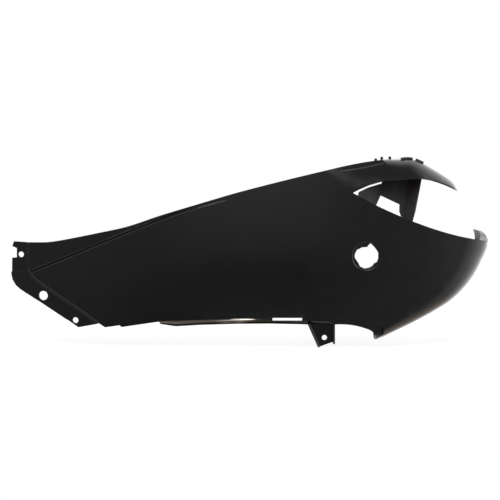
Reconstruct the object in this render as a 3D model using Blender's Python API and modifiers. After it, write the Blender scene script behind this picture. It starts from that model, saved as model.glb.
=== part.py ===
"""Left rear side fairing of a small motor scooter: one injection moulding in black ABS.

Everything is in metres. +X runs from the front flange to the tail, +Z is up, and the outer face looks
along -Y. The origin lies on the flat outer face of the front flange, below the tip of the main skin.

The skin is laid out flat as seen from the side, given its depth by skin_depth(), folded inwards along
its edges, and thickened. Brackets and bosses are joined to it, and then the holes are cut.
"""
import math

import bmesh
import bpy
import numpy as np
from mathutils import Vector
from mathutils.geometry import delaunay_2d_cdt

# Wall and mesh
WALL = 0.0025
CELL = 0.013
FINE_CELL = CELL / 12
SPAN_SHARE = 0.05
STEP_DRAFT = 0.0006
FOLD_ROWS = 3

# Plan and section of the main skin
FLANGE_TURN = math.radians(10)
BOW_START = 0.120
BOW_END = 0.690
TAIL_SLOPE = 0.15
CROWN_RADIUS = 0.600
CROWN_HEIGHT = 0.022
CROWN_START = 0.100
CROWN_FULL = 0.360

# Levels behind the main skin
FLANGE_STEP = 0.0055
STRIP_FADE_START = 0.150
STRIP_FADE_END = 0.338
LUG_STEP = 0.002
LUG_X = -0.0055
LUG_Z = 0.0130
ARM_SET = 0.0025
ARM_SET_WIDTH = 0.030
SHOULDER_STEP = 0.0020
SHOULDER_FULL = 0.545

# The main skin's proud edge, from its foot over the tip and up the crease: (x, z)
WEDGE = [(0.1119, -0.0685), (0.0806, -0.0464), (0.0476, -0.0251), (0.0144, -0.0028), (0.0045, 0.0044),
         (-0.0021, 0.0116), (0.0483, 0.0322), (0.1148, 0.0600), (0.1965, 0.0931), (0.2448, 0.1110),
         (0.2929, 0.1247), (0.3380, 0.1380)]

# The arm's shoulder, below a strip that is set back; the strip ends where the roof begins: (x, z)
SHOULDER = [(0.4979, 0.1778), (0.5290, 0.1820), (0.5504, 0.1860), (0.5720, 0.1908)]

# Where the arm leaves the body, a soft fold in the skin, and the line on which that fold is measured
ARM_FOLD = [(0.4560, 0.1830), (0.4943, 0.1581), (0.5215, 0.1439)]
ARM_FOLD_FAR = [(0.6100, 0.1390), (0.7100, 0.1200)]

# Outline of the skin, seen from the side, in stretches that share their end points: (x, z)
TOP_EDGE = [(-0.0055, 0.0615), (0.0316, 0.0627), (0.0516, 0.0659), (0.0732, 0.0702), (0.1146, 0.0790),
            (0.1556, 0.0882), (0.2125, 0.1073), (0.2768, 0.1269), (0.3328, 0.1434), (0.3888, 0.1580),
            (0.4368, 0.1698), (0.4688, 0.1773), (0.5174, 0.1882), (0.5497, 0.1938), (0.5741, 0.1966),
            (0.5997, 0.1969), (0.6133, 0.1980), (0.6271, 0.1953), (0.6409, 0.1890), (0.6548, 0.1814),
            (0.6688, 0.1737), (0.6810, 0.1662), (0.6912, 0.1579), (0.6988, 0.1450)]
ARM_LOWER_EDGE = [(0.6988, 0.1450), (0.6831, 0.1526), (0.6646, 0.1596), (0.6472, 0.1643), (0.6320, 0.1654),
                  (0.5975, 0.1638), (0.5716, 0.1624), (0.5408, 0.1537), (0.5215, 0.1439)]
BODY_EDGE = [(0.5215, 0.1439), (0.5358, 0.1360), (0.5583, 0.1242), (0.5969, 0.1067), (0.6146, 0.0995),
             (0.6373, 0.0909), (0.6618, 0.0827), (0.6864, 0.0757), (0.7217, 0.0681), (0.7503, 0.0629)]
TAIL_EDGE = [(0.7503, 0.0629), (0.7462, 0.0481), (0.7394, 0.0336), (0.7247, 0.0065), (0.7062, -0.0163),
             (0.6835, -0.0358), (0.6568, -0.0516), (0.6245, -0.0680), (0.5950, -0.0817), (0.5630, -0.0965)]
ARCH_EDGE = [(0.5630, -0.0965), (0.5608, -0.0905), (0.5534, -0.0792), (0.5419, -0.0741), (0.5257, -0.0695),
             (0.5095, -0.0674), (0.4918, -0.0673)]
BOTTOM_EDGE = [(0.4918, -0.0673), (0.4403, -0.0608), (0.3921, -0.0580), (0.3327, -0.0578),
               (0.2764, -0.0594), (0.2311, -0.0613), (0.2120, -0.0636)]
FOOT_EDGE = [(0.2120, -0.0636), (0.2085, -0.0641), (0.1489, -0.0737), (0.1456, -0.0709),
             (0.1217, -0.0747), (0.1119, -0.0685)]
FLANGE_EDGE = [(0.1119, -0.0685), (0.1079, -0.0703), (0.0768, -0.0765), (0.0597, -0.0650),
               (0.0564, -0.0636), (0.0132, -0.0361), (-0.0175, -0.0175), (-0.0268, -0.0100),
               (-0.0326, -0.0005), (-0.0349, 0.0108), (-0.0337, 0.0138), (-0.0331, 0.0356),
               (-0.0252, 0.0362), (-0.0250, 0.0515), (-0.0326, 0.0548), (-0.0298, 0.0626),
               (-0.0055, 0.0615)]
FLANGE_LEFT = -0.0331

# How the skin rounds over towards an edge: (x of the edge, width in from it, depth gained)
TOP_ROUND = [(-0.06, 0.003, 0.003), (0.571, 0.003, 0.003), (0.576, 0.009, 0.010), (0.600, 0.015, 0.015),
             (0.627, 0.024, 0.024), (0.655, 0.032, 0.036), (0.681, 0.032, 0.046), (0.700, 0.032, 0.050)]
TAIL_ROUND = [(0.560, 0.013, 0.022), (0.624, 0.020, 0.029), (0.684, 0.030, 0.039), (0.725, 0.040, 0.048),
              (0.751, 0.046, 0.052)]
ROUND_ONSET = 2.5
ARM_ROUND_START = 0.545
EDGE_LINES = 3
ARM_LINES = 6
TAIL_LINES = 6

# How far the skin carries on inwards from an edge: (x of the edge, depth)
TOP_RETURN = [(-0.06, 0.012), (0.500, 0.012), (0.574, 0.030), (0.640, 0.045), (0.700, 0.045)]
TOP_RETURN_RISE = 0.04
TOP_RISE_FULL = 0.6133
BOTTOM_RETURN = [(0.140, 0.008), (0.520, 0.008), (0.566, 0.016)]
RETURN_END = (0.1489, -0.0737)
TAIL_RETURN = [(0.560, 0.016), (0.624, 0.030), (0.700, 0.052), (0.751, 0.060)]
TAIL_DRAFT = 0.06
NOSE_RISE = 0.0156
NOSE_TURN = 0.0103
NOSE_REACH = 0.050
RIM_LEDGE = 0.014

# The lip below the bottom edge: (x, z) of its lower edge, and how far its face bulges
LIP_EDGE = [(0.2085, -0.0641), (0.2120, -0.0698), (0.2365, -0.0731), (0.2764, -0.0704), (0.3326, -0.0683),
            (0.3890, -0.0676), (0.4487, -0.0688), (0.4930, -0.0697)]
LIP_BULGE = 0.0006

# The pocket below the arm: (x at the body's edge, x at the arm's edge, depth behind the skin)
POCKET = [(0.5310, 0.5330, 0.008), (0.5450, 0.5480, 0.018), (0.5580, 0.5660, 0.026),
          (0.5700, 0.5800, 0.029), (0.5850, 0.5970, 0.030), (0.6030, 0.6140, 0.030),
          (0.6095, 0.6230, 0.023), (0.6190, 0.6338, 0.013)]
POCKET_GAP = 0.0049
CEILING_START = 0.572
WEB_X = 0.570
WEB_FRONT = 0.008
WEB_BACK = 0.030

# Holes
SCREW_HOLES = [(-0.0178, 0.0413, 0.0094), (0.0189, -0.0256, 0.0152), (0.0723, -0.0648, 0.0096)]
LOCK_X = 0.5429
LOCK_Z = 0.0433
LOCK_OUTLINE = [(0.0066, 0.0203), (0.0109, 0.0164), (0.0156, 0.0108), (0.0189, 0.0056), (0.0190, -0.0037),
                (0.0170, -0.0096), (0.0122, -0.0120), (0.0098, -0.0158), (0.0042, -0.0187),
                (-0.0026, -0.0200), (-0.0100, -0.0168), (-0.0130, -0.0108), (-0.0160, -0.0066),
                (-0.0187, -0.0024), (-0.0188, 0.0027), (-0.0154, 0.0098), (-0.0072, 0.0140),
                (0.0010, 0.0145), (0.0035, 0.0180)]
LOCK_RECESS_RADIUS = 0.0230
LOCK_RECESS = 0.0008
LOCK_COLLAR_RADIUS = 0.0225
LOCK_COLLAR_DEPTH = 0.012
WINDOW = [(0.5685, 0.1381), (0.5600, 0.1204), (0.5800, 0.1104), (0.6032, 0.1003), (0.5990, 0.1120),
          (0.5994, 0.1236)]
SLOT_START = 0.3930
SLOT_END = 0.4405
SLOT_TOP = -0.0564
SLOT_BOTTOM = -0.0618
SEAT_FROM_CORNER_X = 0.0025
SEAT_FROM_CORNER_Z = 0.0182
SEAT_X = ARCH_EDGE[0][0] + SEAT_FROM_CORNER_X
SEAT_Z = ARCH_EDGE[0][1] + SEAT_FROM_CORNER_Z
SEAT_RADIUS = 0.0070
SEAT_DEPTH = 0.0012
SEAT_BOSS_RADIUS = 0.0085
SEAT_BOSS_DEPTH = 0.009
SEAT_BOSS_START = 0.0019

# The hanging bracket, seen from the side: (x, z)
BRACKET_SETBACK = 0.0084
BRACKET_THICKNESS = 0.0032
BRACKET_WALL_DEPTH = 0.007
BRACKET_PLATE = [(0.4486, -0.0600), (0.4680, -0.1048), (0.4895, -0.0972), (0.4926, -0.0992),
                 (0.4926, -0.0600)]
BRACKET_LEFT_WALL = [(0.4470, -0.0615), (0.4665, -0.1058), (0.4698, -0.1046), (0.4505, -0.0615)]
BRACKET_RIGHT_WALL = [(0.4938, -0.0615), (0.4938, -0.1002), (0.4908, -0.0986), (0.4908, -0.0615)]
BRACKET_HOLE = (0.4768, -0.0896, 0.0084)

# Small tabs and ribs that stand up from the top edge
TOP_TABS = [0.5600, 0.5700, 0.5843]
TAB_WIDTH = 0.0045
TAB_HEIGHT = 0.0050
TAB_BACK = 0.010
ROOF_RIBS = [(0.6015, 0.6205), (0.6260, 0.6385)]
RIB_RISE = 0.0026
RIB_SINK = 0.0042
RIB_FACE_DROP = 0.0014

# Plain workshop values
CUT_MARGIN = 0.010
OVERLAP = 0.0010
ROUND_SIDES = 28
WEB_ROWS = 4
RIB_PLACES = 4
SHARP_ANGLE = math.radians(30)
BLACK = 0.012
ROUGHNESS = 0.35
TO_MM = 1000
SNAP_MM = 0.001
CORNER_SHARE = 1e-6
INSIDE_ONLY = 1


def ease(start, end, value):
    """Rise smoothly from 0 at start to 1 at end."""
    t = np.clip((value - start) / (end - start), 0, 1)
    return t * t * (3 - 2 * t)


def curve_through(points, spacing):
    """Points about one spacing apart on a smooth curve through the given ones."""
    knots = np.array(points)
    along = np.concatenate([[0], np.cumsum(np.linalg.norm(np.diff(knots, axis=0), axis=1))])
    slopes = np.gradient(knots, along, axis=0)
    fine = []
    for i, length in enumerate(np.diff(along)):
        for t in np.arange(0, 1, SPAN_SHARE):
            start = (1 + 2 * t) * (1 - t) ** 2 * knots[i] + t * (1 - t) ** 2 * length * slopes[i]
            end = t * t * (3 - 2 * t) * knots[i + 1] + t * t * (t - 1) * length * slopes[i + 1]
            fine.append(start + end)
    fine.append(knots[-1])
    return evenly(np.array(fine), spacing)


def evenly(line, spacing):
    """Points about one spacing apart along a polyline, its ends included."""
    along = np.concatenate([[0], np.cumsum(np.linalg.norm(np.diff(line, axis=0), axis=1))])
    places = np.linspace(0, along[-1], max(2, round(along[-1] / spacing) + 1))
    return np.stack([np.interp(places, along, line[:, k]) for k in range(line.shape[1])], axis=1)


def with_corners(points, spacing):
    """Points about one spacing apart on straight runs between the given ones."""
    runs = [evenly(np.array(pair), spacing)[:-1] for pair in zip(points, points[1:])]
    return np.concatenate(runs + [np.array(points[-1:])])


def nearest(places, line):
    """Distance from each place to a polyline, positive on its left, and the nearest point's x.

    Where a corner is nearest, the run that the place lies farther beside says which side it is on.
    """
    start = line[:-1]
    run = line[1:] - start
    away = places[:, None] - start
    t = np.clip((away * run).sum(2) / (run * run).sum(1), 0, 1)
    foot = start + t[..., None] * run
    gap = np.linalg.norm(places[:, None] - foot, axis=2)
    side = (run[:, 0] * away[..., 1] - run[:, 1] * away[..., 0]) / np.linalg.norm(run, axis=1)
    best = (gap - CORNER_SHARE * np.abs(side)).argmin(1)
    pick = np.arange(len(places))
    return np.copysign(gap[pick, best], side[pick, best]), foot[pick, best, 0]


def beyond(line, reach):
    """The same polyline, carried on straight at both ends."""
    head = line[0] + (line[0] - line[1]) / np.linalg.norm(line[0] - line[1]) * reach
    foot = line[-1] + (line[-1] - line[-2]) / np.linalg.norm(line[-1] - line[-2]) * reach
    return np.vstack([head, line, foot])


def rounding(places, edge, table):
    """Depth that the skin gains as it rounds over towards an edge."""
    rows = np.array(table)
    distance, at = nearest(places, beyond(edge, CELL))
    width = np.interp(at, rows[:, 0], rows[:, 1])
    drop = np.interp(at, rows[:, 0], rows[:, 2])
    turn = np.clip(1 - np.abs(distance) / width, 0, 1)
    return drop * (1 - np.sqrt(np.clip(1 - turn ** ROUND_ONSET, 0, 1)))


def base_depth(places):
    """The skin's plan curve and crown, before any step or rounding."""
    x, z = places[:, 0], places[:, 1]
    slope = math.tan(FLANGE_TURN)
    bow = (slope + TAIL_SLOPE) / (BOW_END - BOW_START)
    plan = -FLANGE_STEP - slope * x + 0.5 * bow * np.clip(x - BOW_START, 0, None) ** 2
    return plan + ease(CROWN_START, CROWN_FULL, x) * (z - CROWN_HEIGHT) ** 2 / (2 * CROWN_RADIUS)


def step_depth(places):
    """How far each place lies behind the main skin: flange, strips, lug, arm and lock recess."""
    x, z = places[:, 0], places[:, 1]
    outside, _ = nearest(places, WEDGE_LINE)
    fade = 1 - ease(STRIP_FADE_START, STRIP_FADE_END, x)
    depth = FLANGE_STEP * fade * np.clip(outside / STEP_DRAFT, 0, 1)
    in_lug = np.clip((LUG_X - x) / STEP_DRAFT, 0, 1) * np.clip((z - LUG_Z) / STEP_DRAFT, 0, 1)
    depth = depth + LUG_STEP * in_lug
    over_fold, _ = nearest(places, ARM_LINE)
    depth = depth + ARM_SET * ease(0, ARM_SET_WIDTH, over_fold)
    over_shoulder, _ = nearest(places, SHOULDER_LINE)
    strip = np.clip(over_shoulder / STEP_DRAFT, 0, 1) * np.clip((SHOULDER[-1][0] - x) / STEP_DRAFT, 0, 1)
    depth = depth + SHOULDER_STEP * strip * ease(SHOULDER[0][0], SHOULDER_FULL, x)
    from_lock = np.hypot(x - LOCK_X, z - LOCK_Z)
    return depth + LOCK_RECESS * np.clip((LOCK_RECESS_RADIUS - from_lock) / STEP_DRAFT, 0, 1)


def skin_depth(places):
    """Depth of the outer face at each place (x, z)."""
    places = np.atleast_2d(places)
    rounded = rounding(places, TOP_LINE, TOP_ROUND) + rounding(places, TAIL_LINE, TAIL_ROUND)
    return base_depth(places) + step_depth(places) + rounded


def rounding_lines(edge, table, count):
    """Guide lines on the inner side of an edge, closer together where the skin turns faster."""
    rows = np.array(table)
    width = np.interp(edge[:, 0], rows[:, 0], rows[:, 1])
    for k in range(count):
        yield beside(edge, -width * (1 - math.sin(0.5 * math.pi * k / count)))


def beside(line, offset):
    """The line moved to its left by an offset."""
    run = np.gradient(line, axis=0)
    normal = np.stack([-run[:, 1], run[:, 0]], axis=1)
    normal = normal / np.linalg.norm(normal, axis=1)[:, None]
    return line + normal * np.broadcast_to(offset, len(line))[:, None]


def ring(radius):
    """A closed ring of places about the lock hole."""
    turns = np.linspace(0, 2 * math.pi, ROUND_SIDES + 1)
    return np.stack([LOCK_X + radius * np.cos(turns), LOCK_Z + radius * np.sin(turns)], axis=1)


def inside(places, outline):
    """Whether each place lies inside a closed outline."""
    ends = np.roll(outline, -1, axis=0)
    x, z = places[:, 0, None], places[:, 1, None]
    straddles = (outline[:, 1] > z) != (ends[:, 1] > z)
    rise = np.where(ends[:, 1] == outline[:, 1], 1, ends[:, 1] - outline[:, 1])
    cross = outline[:, 0] + (z - outline[:, 1]) / rise * (ends[:, 0] - outline[:, 0])
    return (straddles & (x < cross)).sum(1) % 2 == 1


def along_skin(line):
    """Places one cell apart along a line, measured on the formed skin."""
    fine = evenly(line, FINE_CELL)
    formed = np.column_stack([fine, skin_depth(fine)])
    return evenly(formed, CELL)[:, :2]


def height_at(line, x):
    """The places on a line at given x."""
    order = np.argsort(line[:, 0])
    return np.column_stack([x, np.interp(x, line[order, 0], line[order, 1])])


def outline_runs():
    """The outline's stretches in order, with a place at every station of the pocket."""
    body = curve_through(BODY_EDGE, FINE_CELL)
    arm = curve_through(ARM_LOWER_EDGE, FINE_CELL)
    body_stations = height_at(body, [row[0] for row in POCKET])
    arm_stations = height_at(arm, [row[1] for row in POCKET])[::-1]
    body_rest = np.vstack([body_stations[-1:], body[body[:, 0] > POCKET[-1][0] + OVERLAP]])
    arm_rest = np.vstack([arm[arm[:, 0] > POCKET[-1][1] + OVERLAP], arm_stations[:1]])
    return [
        TOP_LINE,
        np.vstack([along_skin(arm_rest), arm_stations[1:], arm[-1:]]),
        np.vstack([body[:1], body_stations[:-1], along_skin(body_rest)]),
        TAIL_LINE,
        along_skin(curve_through(ARCH_EDGE, CELL)),
        curve_through(BOTTOM_EDGE, CELL),
        with_corners(FOOT_EDGE, CELL),
        with_corners(FLANGE_EDGE, CELL),
    ]


def guide_lines(runs, outline):
    """Lines that the skin's mesh follows: steps, soft fold, lock recess and each rounding."""
    lines = [WEDGE_LINE, beside(WEDGE_LINE, STEP_DRAFT), curve_through(ARM_FOLD, CELL)]
    lines += [SHOULDER_LINE, beside(SHOULDER_LINE, STEP_DRAFT)]
    end_x, end_z = SHOULDER[-1]
    for x in (end_x, end_x - STEP_DRAFT):
        lines.append(with_corners([(x, end_z + STEP_DRAFT), (x, end_z + WALL)], CELL))
    for x in (LUG_X, LUG_X - STEP_DRAFT):
        lines.append(with_corners([(x, LUG_Z), (x, TOP_EDGE[0][1] - 2 * WALL)], CELL))
    for z in (LUG_Z, LUG_Z + STEP_DRAFT):
        lines.append(with_corners([(FLANGE_LEFT + WALL, z), (LUG_X, z)], CELL))
    lines.append(ring(LOCK_RECESS_RADIUS))
    lines.append(ring(LOCK_RECESS_RADIUS - STEP_DRAFT))
    narrow = TOP_LINE[TOP_LINE[:, 0] < ARM_ROUND_START]
    wide = TOP_LINE[TOP_LINE[:, 0] >= ARM_ROUND_START]
    banded = [(narrow, TOP_ROUND, EDGE_LINES, runs[1]), (wide, TOP_ROUND, ARM_LINES, runs[1])]
    banded.append((TAIL_LINE, TAIL_ROUND, TAIL_LINES, np.vstack([runs[2], runs[4]])))
    for edge, table, count, other in banded:
        for line in rounding_lines(edge, table, count):
            distance, _ = nearest(line, other)
            lines.append(np.where((np.abs(distance) > CELL / 4)[:, None], line, np.nan))
    return [np.where(inside(line, outline)[:, None], line, np.nan) for line in lines]


def flat_skin(runs):
    """The skin laid out flat: a mesh of places and triangles within the outline."""
    outline = np.concatenate([run[:-1] for run in runs])
    places = list(outline)
    edges = []
    kept = [np.vstack([outline, outline[:1]])]
    for line in guide_lines(runs, outline):
        real = ~np.isnan(line[:, 0])
        index = len(places) + np.cumsum(real) - 1
        places.extend(line[real])
        joined = np.flatnonzero(real[:-1] & real[1:])
        edges.extend((int(index[i]), int(index[i + 1])) for i in joined)
        if real.sum() > 1:
            kept.append(line[real])
    low, high = outline.min(0), outline.max(0)
    row_height = CELL * math.sqrt(3) / 2
    grid = []
    for k, z in enumerate(np.arange(low[1], high[1], row_height)):
        for x in np.arange(low[0] + k % 2 * CELL / 2, high[0], CELL):
            grid.append((x, z))
    grid = np.array(grid)
    clear = inside(grid, outline)
    for line in kept:
        clear &= np.abs(nearest(grid, line)[0]) > CELL / 2
    places.extend(grid[clear])
    flat = [(float(x) * TO_MM, float(z) * TO_MM) for x, z in places]
    border = list(range(len(outline)))
    corners, _, faces, *_ = delaunay_2d_cdt(flat, edges, [border], INSIDE_ONLY, SNAP_MM)
    return np.array([tuple(c) for c in corners]) / TO_MM, faces


def formed_skin(runs):
    """The skin with its depth, as an open sheet that faces -Y."""
    places, faces = flat_skin(runs)
    depth = skin_depth(places)
    sheet = bmesh.new()
    corners = [sheet.verts.new((x, y, z)) for (x, z), y in zip(places, depth)]
    for face in faces:
        sheet.faces.new([corners[i] for i in face])
    loose = [v for v in sheet.verts if not v.link_faces]
    bmesh.ops.delete(sheet, geom=loose, context="VERTS")
    return sheet


def border_walk(sheet):
    """The vertex that follows each border vertex, in the outline's direction."""
    following = {}
    for edge in sheet.edges:
        if edge.is_boundary:
            loop = edge.link_loops[0]
            following[loop.link_loop_next.vert] = loop.vert
    return following


def border_run(sheet, start, end):
    """Border vertices between two places (x, z) of the outline."""
    following = border_walk(sheet)
    first = min(following, key=lambda v: math.hypot(v.co.x - start[0], v.co.z - start[1]))
    last = min(following, key=lambda v: math.hypot(v.co.x - end[0], v.co.z - end[1]))
    run = [first]
    while run[-1] is not last:
        run.append(following[run[-1]])
    return run


def fold(sheet, run, travel, rows, first_column=(), last_column=()):
    """Carry the sheet on from a run of border vertices. travel(vertex, share) is the way gone."""
    strips = [list(run)]
    for k in range(1, rows + 1):
        row = [sheet.verts.new(v.co + Vector(travel(v, k / rows))) for v in run]
        for place, column in ((0, first_column), (-1, last_column)):
            if column:
                sheet.verts.remove(row[place])
                row[place] = column[k]
        near = strips[-1]
        for i in range(len(row) - 1):
            corners = dict.fromkeys((near[i], near[i + 1], row[i + 1], row[i]))
            sheet.faces.new(list(corners))
        strips.append(row)
    return strips


def from_table(table, x):
    """Read a table of (x, value) at one x."""
    return float(np.interp(x, [row[0] for row in table], [row[1] for row in table]))


def top_travel(v, share):
    """Way in from the top edge: level at the front, rising a little over the arm."""
    depth = from_table(TOP_RETURN, v.co.x) * share
    lift = TOP_RETURN_RISE * float(ease(ARM_ROUND_START, TOP_RISE_FULL, v.co.x))
    return 0, depth, depth * lift


def bottom_travel(v, share):
    """Way in from the bottom and arch edges."""
    return 0, from_table(BOTTOM_RETURN, v.co.x) * share, 0


def tail_travel(v, share):
    """Way in from the tail edge, rising and turning in at the nose."""
    depth = from_table(TAIL_RETURN, v.co.x) * share
    nose = TAIL_LINE[0]
    near_nose = 1 - float(ease(0, NOSE_REACH, math.hypot(v.co.x - nose[0], v.co.z - nose[1])))
    k = int(np.hypot(TAIL_LINE[:, 0] - v.co.x, TAIL_LINE[:, 1] - v.co.z).argmin())
    run = np.gradient(TAIL_LINE, axis=0)[k]
    inwards = np.array([run[1], -run[0]]) / np.linalg.norm(run) * TAIL_DRAFT * depth
    lift = NOSE_RISE * math.sin(0.5 * math.pi * share) * near_nose
    turn = NOSE_TURN * share ** 3 * near_nose
    return inwards[0] * (1 - near_nose) - turn, depth, inwards[1] * (1 - near_nose) + lift


def fold_rim(sheet, path):
    """The ledge along the light opening: straight in at the pocket, square to the rim after it."""
    pocket_end = POCKET[-1][0] + OVERLAP
    ways = {}
    for i, v in enumerate(path):
        before, after = path[max(i - 1, 0)].co, path[min(i + 1, len(path) - 1)].co
        run = Vector((after.x - before.x, after.y - before.y)).normalized()
        ways[v] = (-run.y * RIM_LEDGE, run.x * RIM_LEDGE, 0)
        if v.co.x < pocket_end:
            ways[v] = (0, float(np.interp(v.co.x, [p[0] for p in POCKET], [p[2] for p in POCKET])), 0)
    return fold(sheet, path, lambda v, share: ways[v], 1)[1]


def nearest_vertex(vertices, place):
    """The vertex nearest to a place (x, z)."""
    return min(vertices, key=lambda v: math.hypot(v.co.x - place[0], v.co.z - place[1]))


def add_pocket(sheet, runs, floor):
    """The web and column behind the opening, between the floor's and the ceiling's inner edges."""
    arm = [row for row in POCKET if row[1] > CEILING_START]
    arm_places = height_at(runs[1], [row[1] for row in POCKET])
    ceiling_run = border_run(sheet, arm_places[-1], arm_places[-len(arm)])
    depth_at = {v: row[2] for v, row in zip(ceiling_run, reversed(arm))}
    ceiling = fold(sheet, ceiling_run, lambda v, share: (0, depth_at[v], 0), 1)[1][::-1]
    bottom = [nearest_vertex(floor, place) for place in height_at(runs[2], [row[0] for row in POCKET])]
    top = []
    for row, place in zip(POCKET, arm_places):
        if row[1] > CEILING_START:
            top.append(ceiling[len(top) - len(POCKET) + len(arm)])
            continue
        y = float(skin_depth(place)[0]) + row[2]
        top.append(sheet.verts.new((place[0], y, place[1] - POCKET_GAP)))
    rows = [bottom]
    for k in range(1, WEB_ROWS):
        share = k / WEB_ROWS
        rows.append([sheet.verts.new(a.co.lerp(b.co, share)) for a, b in zip(bottom, top)])
    rows.append(top)
    for near, far in zip(rows, rows[1:]):
        for i in range(len(near) - 1):
            sheet.faces.new((near[i], near[i + 1], far[i + 1], far[i]))


def add_lip(sheet, ledge):
    """The lip that hangs below the bottom ledge, its face bulging outwards."""
    run = [v for v in ledge if LIP_EDGE[0][0] - OVERLAP < v.co.x < LIP_EDGE[-1][0]]

    def travel(v, share):
        drop = from_table(LIP_EDGE, v.co.x) - v.co.z
        return 0, -LIP_BULGE * math.sin(math.pi * share), drop * share

    fold(sheet, run, travel, FOLD_ROWS, last_column=[run[-1]] * (FOLD_ROWS + 1))


def add_folds(sheet, runs):
    """Everything that turns inwards from the skin's outline."""
    fold(sheet, border_run(sheet, TOP_EDGE[0], TOP_EDGE[-1]), top_travel, FOLD_ROWS)
    tail_run = border_run(sheet, TAIL_EDGE[0], TAIL_EDGE[-1])
    arch_run = border_run(sheet, ARCH_EDGE[0], RETURN_END)
    pocket_start = height_at(runs[2], [POCKET[0][0]])[0]
    body_run = border_run(sheet, pocket_start, BODY_EDGE[-1])
    tail = fold(sheet, tail_run, tail_travel, FOLD_ROWS)
    bottom = fold(sheet, arch_run, bottom_travel, FOLD_ROWS, [row[-1] for row in tail])
    add_lip(sheet, bottom[-1])
    floor = fold_rim(sheet, body_run + [row[0] for row in tail[1:]])
    add_pocket(sheet, runs, floor)


def plain_object(name, mesh_data, collection):
    """A mesh object at the origin."""
    shape = bpy.data.objects.new(name, mesh_data)
    collection.objects.link(shape)
    return shape


def new_collection(name):
    """A collection in the scene."""
    made = bpy.data.collections.new(name)
    bpy.context.scene.collection.children.link(made)
    return made


def apply_modifiers(shape):
    """Replace an object's mesh by its evaluated one."""
    evaluated = shape.evaluated_get(bpy.context.evaluated_depsgraph_get())
    done = bpy.data.meshes.new_from_object(evaluated)
    shape.modifiers.clear()
    shape.data = done


def extruded(name, outline, near, far, collection, lean=0.0, slope=0.0):
    """A closed prism along Y with an outline of (x, z), leaning in X, its faces sloping along X."""
    built = bmesh.new()
    start = outline[0][0]
    front = [built.verts.new((x, near + slope * (x - start), z)) for x, z in outline]
    face = built.faces.new(front)
    lifted = bmesh.ops.extrude_face_region(built, geom=[face])
    back = [v for v in lifted["geom"] if isinstance(v, bmesh.types.BMVert)]
    bmesh.ops.translate(built, vec=(lean * (far - near), far - near, 0), verts=back)
    bmesh.ops.recalc_face_normals(built, faces=built.faces)
    data = bpy.data.meshes.new(name)
    built.to_mesh(data)
    built.free()
    return plain_object(name, data, collection)


def round_outline(x, z, radius):
    """Places on a circle."""
    turns = np.linspace(0, 2 * math.pi, ROUND_SIDES, endpoint=False)
    return [(x + radius * math.cos(t), z + radius * math.sin(t)) for t in turns]


def combine(target, tool, operation):
    """Boolean union or difference with an exact solver, applied at once."""
    tool.hide_render = True
    tool.display_type = "WIRE"
    step = target.modifiers.new(tool.name, "BOOLEAN")
    step.operation = operation
    step.object = tool
    step.solver = "EXACT"
    apply_modifiers(target)
    bpy.data.objects.remove(tool)


def face_depth(x, z):
    """Depth of the outer face at one place."""
    return float(skin_depth((x, z))[0])


def joined_pieces(collection):
    """Bracket, bosses and tabs, each a closed solid that reaches into the skin."""
    pieces = []
    y = face_depth(LOCK_X, LOCK_Z)
    collar = round_outline(LOCK_X, LOCK_Z, LOCK_COLLAR_RADIUS)
    pieces.append(extruded("collar", collar, y + WALL / 2, y + LOCK_COLLAR_DEPTH, collection))
    y = face_depth(SEAT_X, SEAT_Z)
    boss = round_outline(SEAT_X, SEAT_Z, SEAT_BOSS_RADIUS)
    pieces.append(extruded("seat_boss", boss, y + SEAT_BOSS_START, y + SEAT_BOSS_DEPTH, collection))
    pieces.append(bracket(collection))
    for x in TOP_TABS:
        z = float(np.interp(x, TOP_LINE[:, 0], TOP_LINE[:, 1]))
        y = face_depth(x, z) + TAB_BACK
        half = TAB_WIDTH / 2
        tab = [(x - half, z - WALL / 2), (x + half, z - WALL / 2), (x + half, z + TAB_HEIGHT),
               (x - half, z + TAB_HEIGHT)]
        pieces.append(extruded("tab", tab, y, y + WALL, collection))
    for start, end in ROOF_RIBS:
        pieces.append(roof_rib(start, end, collection))
    return pieces


def bracket(collection):
    """The hanging bracket: a plate between two deeper side walls."""
    front, slope = bracket_front(BRACKET_PLATE[0][0])
    back = front + BRACKET_THICKNESS
    plate = extruded("bracket", BRACKET_PLATE, front, back, collection, slope=slope)
    for outline in (BRACKET_LEFT_WALL, BRACKET_RIGHT_WALL):
        front, slope = bracket_front(outline[0][0])
        near, far = front - BRACKET_WALL_DEPTH, front + BRACKET_THICKNESS + OVERLAP
        wall = extruded("bracket_wall", outline, near, far, collection, -slope, slope)
        combine(plate, wall, "UNION")
    return plate


def bracket_front(x):
    """Depth of the bracket plate's front at x, within the lip's wall all along, and its slope."""
    (end_x, end_z), (start_x, start_z) = BOTTOM_EDGE[0], BOTTOM_EDGE[1]
    end, start = face_depth(end_x, end_z), face_depth(start_x, start_z)
    slope = (end - start) / (end_x - start_x)
    return start + slope * (x - start_x) + BRACKET_SETBACK, slope


def roof_rib(start, end, collection):
    """A low rib across the roof that follows its line and its slope."""
    x = np.linspace(start, end, RIB_PLACES)
    z = np.interp(x, TOP_LINE[:, 0], TOP_LINE[:, 1])
    depth = skin_depth(np.column_stack([x, z - RIB_FACE_DROP]))
    outline = [*zip(x, z - RIB_SINK), *zip(x[::-1], z[::-1] + RIB_RISE)]
    slope = float(depth[-1] - depth[0]) / (end - start)
    return extruded("rib", outline, float(depth[0]), float(depth[0]) + WALL, collection, slope=slope)


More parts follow.
